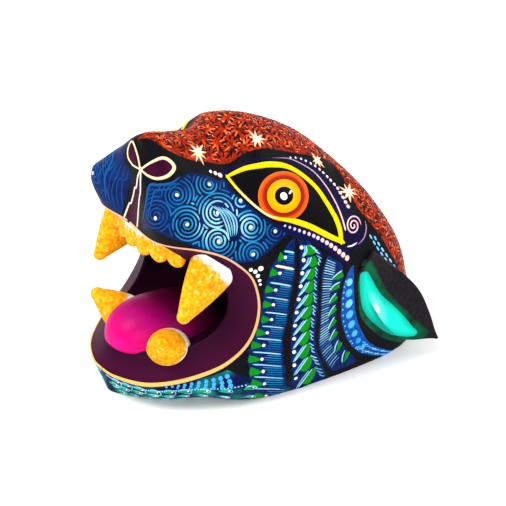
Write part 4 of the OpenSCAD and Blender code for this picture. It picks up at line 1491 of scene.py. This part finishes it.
    def build(self) -> list[bpy.types.Object]:
        """The three strips, the white dots at the corner of the mouth and the ear's border."""
        rng = np.random.default_rng(5)
        carry = self.view.onto_skin
        found = []
        for name, strip in (("cheek_front", self.front), ("cheek_middle", self.middle),
                            ("cheek_back", self.back)):
            brush = Brush(self.skin, height=0.17)
            strip(brush, rng)
            found.append(brush.finish(name, "painted_head"))
        brush = Brush(self.skin, height=0.2)
        cluster = carry([(11, -15.6), (12.9, -16.4), (15.3, -15), (14, -18.2), (14.7, -20.2),
                         (15, -21.9)])
        brush.dots(cluster, np.array([0.9, 1.0, 1.2, 0.95, 0.8, 0.65]), Tone.WHITE.ink, sides=14)
        self.ear_border(brush, rng)
        found.append(brush.finish("cheek_dots", "painted_head"))
        return found

    def ear_border(self, brush: Brush, rng: np.random.Generator) -> None:
        """Large and small blue dots before the ear and below it, dashes above it."""
        carry = self.view.onto_skin
        down = np.array([0.13, 0.21, 0.29, 0.37, 0.445, 0.515, 0.575, 0.63])
        size = np.array([1.8, 2.0, 2.15, 2.1, 2.0, 1.7, 1.5, 1.3])
        brush.dots(carry(EAR_BORDER.at(down, 0.55)), size, blend(ink("1d9cf0"), ink("6fd0ff"),
                                                                 rng.uniform(0, 1, 8)), sides=16)
        brush.dots(carry(EAR_BORDER.at(down + 0.03, 0.12)), 0.55, ink("49b4f5"))
        brush.dots(carry(EAR_BORDER.at(down - 0.01, 0.14)), 0.4, ink("8bd6ff"))
        for place in np.linspace(0.6, 0.97, 17):
            for across in (0.3, 0.75):
                shares = np.array([place, place + 0.012, place + 0.024])
                path = EAR_BORDER.at(shares, np.array([across - 0.1, across, across + 0.1]))
                brush.stroke(carry(smooth_path(path, 0.35)), 0.8,
                             blend(ink("2f9fe8"), ink("a5e0ff"), rng.uniform(0, 1)))
        guide = smooth_path(((62.6, 0.8), (66, -5), (69.5, -10), (73, -15), (76.5, -19.8), (79, -23.5)),
                            0.1)
        for row, shift in enumerate((-0.75, 0.75)):
            for start in np.arange(0.02 + 0.05 * row, 0.93, 0.1):
                pick = (np.array([start, start + 0.04, start + 0.075]) * (len(guide) - 1)).astype(int)
                path = guide[pick] + [shift * 0.8, shift * 0.5]
                brush.stroke(carry(smooth_path(path, 0.3)), 1.25,
                             blend(ink("58bdf4"), ink("a9e1ff"), rng.uniform(0, 1)), taper=(0.4, 0.4))


@dataclass
class JawPaint:
    """Dots and scallops under the lip, over the chin and along the neck."""

    skin: Skin

    def build(self) -> bpy.types.Object:
        """Rows of light dots near the corner, white-edged green scallops further down."""
        rng = np.random.default_rng(3)
        brush = Brush(self.skin, height=0.2)
        for row, v in enumerate((0.10, 0.155, 0.21)):
            s = np.arange(10.95 + 0.09 * row, 12.6 - 0.25 * row, 0.17)
            brush.dots(np.column_stack([s, np.full(len(s), v)]),
                       np.linspace(1.15, 0.5, len(s)), ink("3fa9f5"))
        for row, v in enumerate((0.30, 0.44, 0.58)):
            for s in np.arange(10.9 + 0.2 * row, 14.6, 0.42):
                reach = self.skin.reach(np.array([s]), np.array([v]))[0]
                turn = np.linspace(-2.3, 2.3, 14)
                arc = np.column_stack([-2.4 * np.cos(turn), 1.5 * np.sin(turn)]) / reach
                brush.stroke(arc + [s, v], 0.55, blend(Tone.ICE.ink, Tone.SKY.ink, rng.uniform(0, 0.8)),
                             lift=0.06)
                leaf = np.column_stack([np.linspace(-1.6, 3.6, 8), np.zeros(8)]) / reach
                brush.stroke(leaf + [s, v], 2.1, blend(ink("0c8f3a"), ink("12b49a"), rng.uniform(0, 1)),
                             taper=(0.3, 0.7))
                brush.dots(np.array([[s, v]]) + [[-1.1 / reach[0], 0]], 0.45, Tone.WHITE.ink, lift=0.15)
        s = np.linspace(10.9, 14.8, 60)
        brush.dots(np.column_stack([s, np.full(60, 0.245)]), 0.4, ink("8fd0ff"))
        return brush.finish("jaw_dots", "painted_head")


# ---------------------------------------------------------------- teeth, tongue and ears
def seat_axes(way: Sequence[float]) -> np.ndarray:
    """Columns of the turn that carries +Z onto a way: first about Y, then about Z."""
    x, y, z = np.array(way) / np.linalg.norm(way)
    tilt, swing = math.acos(z), math.atan2(y, x)
    about_y = np.array([[math.cos(tilt), 0, math.sin(tilt)], [0, 1, 0],
                        [-math.sin(tilt), 0, math.cos(tilt)]])
    about_z = np.array([[math.cos(swing), -math.sin(swing), 0],
                        [math.sin(swing), math.cos(swing), 0], [0, 0, 1]])
    return about_z @ about_y


class ToothPaint:
    """Ochre paint that feathers into white towards the root."""

    def make(self) -> bpy.types.Material:
        """The share of white is read from the mesh and broken up by stretched noise."""
        g = Graph("tooth_paint")
        flecks = g.noise(620, 4.0)
        broad = g.noise(190, 3.0)
        ochre = g.mix(ink("f08a00"), ink("ffb81e"), flecks.step(0.35, 0.62))
        ochre = g.mix(ochre, ink("c96a04"), broad.step(0.58, 0.78) * 0.5)
        ochre = g.mix(ochre, ink("ffe7b0"), flecks.step(0.62, 0.7) * broad.step(0.45, 0.6))
        white = (g.mark("feather") + (flecks - 0.5) * 0.55).step(0.42, 0.62)
        colour = g.mix(ochre, ink("f7f3ea"), white)
        return g.surface(colour, Finish(), roughness=0.36 + 0.2 * flecks,
                         bump=flecks)


@dataclass
class Fang:
    """One pair of fangs: blunt, slightly full cones on oval feet."""

    nodes: tuple[str, str]
    place: tuple[float, float, float]
    way: tuple[float, float, float]
    wide: float
    thick: float
    long: float
    tip: float = 3.0
    swell: float = 1.5
    rings: int = 60
    sides: int = 72
    white_side: tuple[float, float, float] = (0, 0, 0)
    white_from: float = 0.25
    white_fall: float = 3.2

    def shell(self) -> tuple[np.ndarray, np.ndarray, np.ndarray]:
        """Half-sizes fall from the foot's to the tip's radius as 1 - t^1.5, and a quarter
        circle rounds the tip.

        Returns:
            Points on the head, local points, and the share of the way from foot to tip.
        """
        body = np.linspace(0, 1, self.rings)
        height = (self.long - self.tip) * body
        shrink = 1 - body ** self.swell
        cap = np.linspace(0, np.pi / 2, 12)[1:-1]
        height = np.concatenate([height, self.long - self.tip + self.tip * np.sin(cap)])
        half = [np.concatenate([self.tip + (d / 2 - self.tip) * shrink, self.tip * np.cos(cap)])
                for d in (self.wide, self.thick)]
        turn = 2 * np.pi * np.arange(self.sides) / self.sides
        local = np.stack([half[0][:, None] * np.cos(turn), half[1][:, None] * np.sin(turn),
                          np.broadcast_to(height[:, None], (len(height), self.sides))], -1)
        local = np.vstack([local.reshape(-1, 3), [[0, 0, self.long], [0, 0, 0]]])
        points = np.array(self.place) + local @ seat_axes(self.way).T
        return points, local, np.clip(local[:, 2] / self.long, 0, 1)

    def build(self, paint: bpy.types.Material) -> None:
        """Makes the left fang and its mirror image."""
        points, local, share = self.shell()
        count = (len(points) - 2) // self.sides
        quads = tube_faces(count, self.sides)
        tip = fan_faces(np.arange((count - 1) * self.sides, count * self.sides), len(points) - 2)
        foot = fan_faces(np.arange(self.sides), len(points) - 1)[:, ::-1]
        outward = unit(np.column_stack([local[:, :2], np.zeros(len(local))])
                       @ seat_axes(self.way).T)
        feather = 1 - (share - self.white_from) * self.white_fall + outward @ np.array(self.white_side)
        for node, side in zip(self.nodes, (1, -1)):
            placed = fitted(points * [side, 1, 1], node)
            piece = make_piece(f"{node}_painted", placed,
                               [quads[:, ::side], np.vstack([tip, foot])[:, ::side]],
                               marks={"feather": np.clip(feather, -1, 2)})
            dress(piece, paint)
            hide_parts(node)


@dataclass
class FrontTeeth:
    """The curved strip of front teeth."""

    radius: float = 39.0
    turn: float = 72.0
    thick: float = 5.0
    tall: float = 13.0
    teeth: int = 6
    around: int = 32
    along: int = 260

    def build(self, paint: bpy.types.Material) -> None:
        """A rounded bar carried along the arc; its lower edge follows a half circle under
        each tooth and its section is a box to the power of four."""
        angle = np.linspace(-self.turn / 2, self.turn / 2, self.along)
        width = 2 * self.radius * math.sin(math.radians(self.turn / self.teeth / 2))
        in_tooth = (np.linspace(0, self.teeth, self.along) % 1) - 0.5
        in_tooth[-1] = 0.5
        drop = np.sqrt(np.maximum(0.25 - in_tooth ** 2, 0.01)) * width - width / 2
        low = np.maximum(-self.tall - drop, -self.tall)
        bulge = 1 + 0.12 * np.cos(2 * np.pi * in_tooth)
        turn = 2 * np.pi * np.arange(self.around) / self.around
        across = np.sign(np.cos(turn)) * np.abs(np.cos(turn)) ** 0.5
        up = np.sign(np.sin(turn)) * np.abs(np.sin(turn)) ** 0.5
        end = np.minimum(1, np.sqrt(np.clip(np.minimum(np.arange(self.along),
                                                       np.arange(self.along)[::-1]) / 9, 0.02, 1)))
        reach = self.radius + (self.thick / 2 * bulge * end)[:, None] * across
        height = low[:, None] * (1 - (up * 0.5 + 0.5)) * (0.6 + 0.4 * end)[:, None]
        a = np.radians(angle)[:, None]
        points = np.stack([reach * np.sin(a), -reach * np.cos(a), height], -1).reshape(-1, 3)
        ends = points.reshape(self.along, self.around, 3)[[0, -1]].mean(1)
        share = np.repeat((up * 0.5 + 0.5)[None], self.along, axis=0).ravel()
        points = fitted(np.vstack([points, ends]), "front_teeth")
        quads = tube_faces(self.along, self.around)
        n = self.along * self.around
        caps = np.vstack([fan_faces(np.arange(self.around), n)[:, ::-1],
                          fan_faces(np.arange(n - self.around, n), n + 1)])
        feather = np.append(share * 1.1 - 0.35, [0, 0])
        piece = make_piece("front_teeth_painted", points, [quads[:, ::-1], caps[:, ::-1]],
                           marks={"feather": feather})
        dress(piece, paint)
        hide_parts("front_teeth")


@dataclass
class Tongue:
    """A smooth dome, full in front and low behind."""

    place: tuple[float, float, float] = (0, -28.5, 22)
    long: float = 57.0
    wide: float = 33.0
    tall: float = 19.0
    square: float = 2.5
    back: float = 0.5
    full: float = 0.4
    rings: int = 56
    sides: int = 120

    def build(self) -> None:
        """A point at the share r of the way out to the rim stands (1 - r^2)^0.4 of the
        height, which falls from front to back; the rim is a squarish ellipse."""
        turn = 2 * np.pi * np.arange(self.sides) / self.sides
        power = 2 / self.square
        rim = np.column_stack([
            self.wide / 2 * np.sign(np.sin(turn)) * np.abs(np.sin(turn)) ** power,
            -self.long / 2 * np.sign(np.cos(turn)) * np.abs(np.cos(turn)) ** power])
        r = np.cos(np.pi / 2 * np.arange(self.rings) / self.rings)
        xy = rim[None] * r[:, None, None]
        share = 0.5 + xy[..., 1] / self.long
        z = self.tall * (1 - r[:, None] ** 2) ** self.full * (1 - (1 - self.back) * share)
        points = np.concatenate([xy, z[..., None]], -1).reshape(-1, 3)
        top = self.tall * (1 - (1 - self.back) * 0.5)
        points = np.vstack([points, [[0, 0, top], [0, 0, 0]]])
        forward = np.append((0.5 - share).ravel(), [0.0, 0.0])
        placed = fitted(points, "tongue")
        quads = tube_faces(self.rings, self.sides)
        n = self.rings * self.sides
        caps = np.vstack([fan_faces(np.arange(n - self.sides, n), n),
                          fan_faces(np.arange(self.sides), n + 1)[:, ::-1]])
        piece = make_piece("tongue_painted", placed, [quads, caps],
                           marks={"forward": forward + 0.5 - 0.35 * points[:, 2] / self.tall})
        g = Graph("tongue_paint")
        fine = g.noise(260, 3.0)
        # Painted shade of the mouth: the ramp darkens the tongue to near black towards the throat and a
        # little towards its top.
        colour = g.node("ShaderNodeValToRGB", {"stops": (
            (0.0, ink("1c0413")), (0.3, ink("560332")), (0.55, ink("a40668")),
            (0.8, ink("c80069")), (1.0, ink("dc057a")))},
            {"Fac": g.mark("forward") + (fine - 0.5) * 0.12})
        dress(piece, g.surface(colour, Finish(coat=0.05), roughness=0.34 + 0.14 * fine,
                               bump=g.noise(900, 2.0)))
        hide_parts("tongue")


@dataclass
class Ears:
    """A pair of dished ears, laid back, with a green hollow and a teal leaf in it."""

    view: QuarterView
    place: tuple[float, float, float] = (48, 41, 52)
    way: tuple[float, float, float] = (0.225, 0.58, -0.783)
    face: tuple[float, float, float] = (0.948, -0.222, 0.229)
    long: float = 56.0
    wide: float = 23.0
    thick: float = 10.0
    dish: float = 0.55
    edges: tuple[tuple[float, float, float], ...] = (
        (-0.65, 0.65, 1), (-0.72, 0.72, 1), (-0.95, 0.82, 0.9), (-1.1, 0.78, 0.75),
        (-0.92, 0.45, 0.55), (-0.1, 0, 0.2))
    rings: int = 150
    sides: int = 120

    def shell(self) -> tuple[np.ndarray, np.ndarray]:
        """Each ring is an ellipse between the lower and the upper edge; on the face side its
        depth is cut by the dish times the sine.

        Returns:
            Points, and the share round the ring as an angle.
        """
        out = unit(np.array(self.way))
        up = unit(np.cross(np.array(self.face), out))
        front = np.cross(out, up)
        knots = np.array([self.edges[0], *self.edges, self.edges[-1]], float)
        t = np.linspace(0, 1, self.rings)
        edge = catmull(knots, t * (len(self.edges) - 1))
        half = self.wide / 4 * (edge[:, 1] - edge[:, 0])
        middle = self.wide / 4 * (edge[:, 1] + edge[:, 0])
        depth = self.thick / 2 * edge[:, 2]
        turn = 2 * np.pi * np.arange(self.sides) / self.sides
        sine = np.sin(turn)[None]
        hollow = np.where(sine > 0, self.dish * np.minimum(3 * t, 1)[:, None] * sine, 0)
        side = middle[:, None] + half[:, None] * np.cos(turn)[None]
        proud = self.thick / 2 * (1 - edge[:, 2])[:, None] + depth[:, None] * sine * (1 - hollow)
        points = (np.array(self.place) + (t * self.long)[:, None, None] * out
                  + side[..., None] * up + proud[..., None] * front)
        points = points.reshape(-1, 3)
        ends = points.reshape(self.rings, self.sides, 3)[[0, -1]].mean(1)
        return np.vstack([points, ends]), np.append(np.tile(turn, self.rings), [4.7, 4.7])

    def build(self) -> None:
        """Makes both ears and lays the glint on the leaf."""
        points, turn = self.shell()
        n = self.rings * self.sides
        quads = tube_faces(self.rings, self.sides)
        caps = np.vstack([fan_faces(np.arange(self.sides), n)[:, ::-1],
                          fan_faces(np.arange(n - self.sides, n), n + 1)])
        flat = self.view.flat(points)
        front = np.sin(turn) > 0.02
        marks = {}
        for name, outline in (("green", EAR_GREEN), ("leaf", EAR_LEAF)):
            found = signed_distance(flat, smooth_path(outline, 0.6, closed=True))
            marks[name] = np.where(front, np.clip(found, -6, 6), -6)
        glint = np.hypot(flat[:, 0] - 65.2, (flat[:, 1] + 32.0) * 0.8 + (flat[:, 0] - 65.2) * 0.8)
        marks["glint"] = np.where(front, np.clip(4 - glint, -2, 4), -2)
        paint = self.paint()
        for node, side in (("ear_left", 1), ("ear_right", -1)):
            placed = fitted(points * [side, 1, 1], node)
            piece = make_piece(f"{node}_painted", placed,
                               [quads[:, ::side], caps[:, ::side]], marks=marks)
            dress(piece, paint)
            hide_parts(node)

    def paint(self) -> bpy.types.Material:
        """Charcoal rim, dark green hollow, teal leaf that pales to a white glint."""
        g = Graph("ear_paint")
        fine, broad = g.noise(520, 4.0), g.noise(140, 3.0)
        colour = g.mix(ink("0c0c12"), ink("211a1f"), fine.step(0.3, 0.7))
        green = g.mix(ink("02301f"), ink("045a3c"), broad.step(0.35, 0.65))
        soft = (g.mark("green") + (fine - 0.5) * 1.4).step(-0.5, 1.0)
        colour = g.mix(colour, green, soft)
        leaf = g.mix(ink("00b39c"), ink("12dcc4"),
                     (g.mark("leaf") + (broad - 0.5) * 2.5).step(0.2, 3.0))
        colour = g.mix(colour, leaf, (g.mark("leaf") + (fine - 0.5) * 0.4).step(-0.15, 0.15))
        colour = g.mix(colour, ink("9ff5e6"), g.mark("glint").step(-1.0, 3.4) * 0.55)
        colour = g.mix(colour, ink("ffffff"), g.mark("glint").step(2.5, 3.4))
        return g.surface(colour, Finish(coat=0.04), roughness=0.34 + 0.2 * fine,
                         bump=fine)


@dataclass
class Pegs:
    """The glued wooden pegs, whose nodes keep their own meshes."""

    nodes: tuple[str, ...] = ("fang_pegs", "ear_pegs", "tongue_pegs")

    def build(self, nodes: dict[str, bpy.types.Object]) -> None:
        """Pale wood with long grain along the pegs."""
        g = Graph("peg_wood")
        grain = g.noise(260, 6.0, (1, 1, 0.15))
        colour = g.mix(ink("b98552"), ink("dcb581"), grain.step(0.3, 0.7))
        wood = g.surface(colour, Finish(roughness=0.65, coat=0.0), bump=grain)
        for name in self.nodes:
            dress(nodes[name], wood)


@dataclass
class Studio:
    """Pale floor, soft lights and the camera."""

    view: QuarterView
    floor_half: float = 1.5
    aside: tuple[float, float] = (11.3, -7.83)
    lens: float = 163.6

    def floor(self) -> None:
        """A wide flat sheet under the head, facing up."""
        half = self.floor_half
        corners = [(half, -half, 0), (half, half, 0), (-half, half, 0), (-half, -half, 0)]
        mesh = bpy.data.meshes.new("floor")
        mesh.from_pydata(corners, [], [(0, 1, 2, 3)])
        piece = bpy.data.objects.new("floor", mesh)
        bpy.context.scene.collection.objects.link(piece)
        g = Graph("floor_paper")
        colour = g.mix((0.93, 0.93, 0.93, 1), (0.96, 0.96, 0.96, 1), g.noise(3.0))
        dress(piece, g.surface(colour, Finish(roughness=0.9, coat=0.0, gloss=0.1, bump=0.0)))

    def light(self, name: str, place: Sequence[float], power: float, size: float) -> None:
        """A soft square lamp that faces the head."""
        lamp = bpy.data.lights.new(name, "AREA")
        lamp.energy = power
        lamp.size = size
        holder = bpy.data.objects.new(name, lamp)
        bpy.context.scene.collection.objects.link(holder)
        back = unit(np.array(place, float))
        side = unit(np.cross([0.0, 0.0, 1.0], back))
        self.aim(holder, np.array(place, float), side, np.cross(back, side), back)

    @staticmethod
    def aim(thing: bpy.types.Object, place: np.ndarray, right: np.ndarray, up: np.ndarray,
            back: np.ndarray) -> None:
        """Places an object in metres and turns its axes to right, up and back."""
        matrix = np.eye(4)
        matrix[:3, 0], matrix[:3, 1], matrix[:3, 2], matrix[:3, 3] = right, up, back, place
        thing.matrix_world = Matrix(matrix.tolist())

    def build(self) -> None:
        """Sets the floor, the lamps, the pale surroundings and the camera."""
        self.floor()
        self.light("key", (-0.35, -0.75, 1.25), 17.0, 0.9)
        self.light("fill", (1.1, -0.7, 0.6), 7.0, 1.0)
        self.light("rim", (0.5, 1.0, 0.9), 7.0, 0.8)
        world = bpy.data.worlds.new("studio")
        world.use_nodes = True
        world.node_tree.nodes["Background"].inputs["Color"].default_value = (1, 1, 1, 1)
        world.node_tree.nodes["Background"].inputs["Strength"].default_value = 0.85
        bpy.context.scene.world = world
        bpy.context.scene.view_settings.view_transform = "Standard"
        camera = bpy.data.cameras.new("camera")
        camera.lens = self.lens
        camera.sensor_width = 36
        camera.clip_end = 50
        holder = bpy.data.objects.new("camera", camera)
        bpy.context.scene.collection.objects.link(holder)
        view = self.view
        place = (np.array(view.middle) + view.right * self.aside[0] + view.up * self.aside[1]
                 + view.back * view.distance) * MM
        self.aim(holder, place, view.right, view.up, view.back)
        bpy.context.scene.camera = holder


def main() -> None:
    """Builds every class in order."""
    logging.basicConfig(level=logging.INFO, format="%(name)s: %(message)s")
    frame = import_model()
    skin = Skin()
    grid_s, grid_v = np.meshgrid(np.linspace(0, LAST_RIB, 5 * LAST_RIB + 1), np.linspace(0, 1, 11))
    coarse = skin.outer(grid_s, grid_v)
    low, high = (np.array(corner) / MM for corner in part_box("head_block"))
    skin.scale = np.array([high[0] / coarse[:, 0].max(),
                           (high[1] - low[1]) / np.ptp(coarse[:, 1]), high[2] / coarse[:, 2].max()])
    LOG.info("scale %s", skin.scale.round(4))
    view = QuarterView(skin)
    HeadBlock(skin, view).build()
    pieces = [LipLine(skin).build(), *MuzzlePaint(skin, view).build(),
              *EyePaint(skin, view).build(), NosePaint(skin, view).build(),
              *CrownPaint(skin, view).build(), *CheekPaint(skin, view).build(),
              JawPaint(skin).build()]
    paint = TintPaint("brush_paint", Finish()).make()
    for piece in pieces:
        dress(piece, paint)
    tooth_paint = ToothPaint().make()
    Fang(("upper_fang_left", "upper_fang_right"), (29.5, -22, 66.5), (0.07, -0.69, -0.72),
         28, 14, 30, white_side=(0.0, 0.4, 0.15), white_from=0.0).build(tooth_paint)
    Fang(("lower_fang_left", "lower_fang_right"), (16, -38.5, 22), (0.54, -0.55, 0.64),
         18, 20, 19, white_from=0.12).build(tooth_paint)
    FrontTeeth().build(tooth_paint)
    Tongue().build()
    Ears(view).build()
    Pegs().build(frame["nodes"])
    Studio(view).build()


if __name__ == "__main__":
    main()
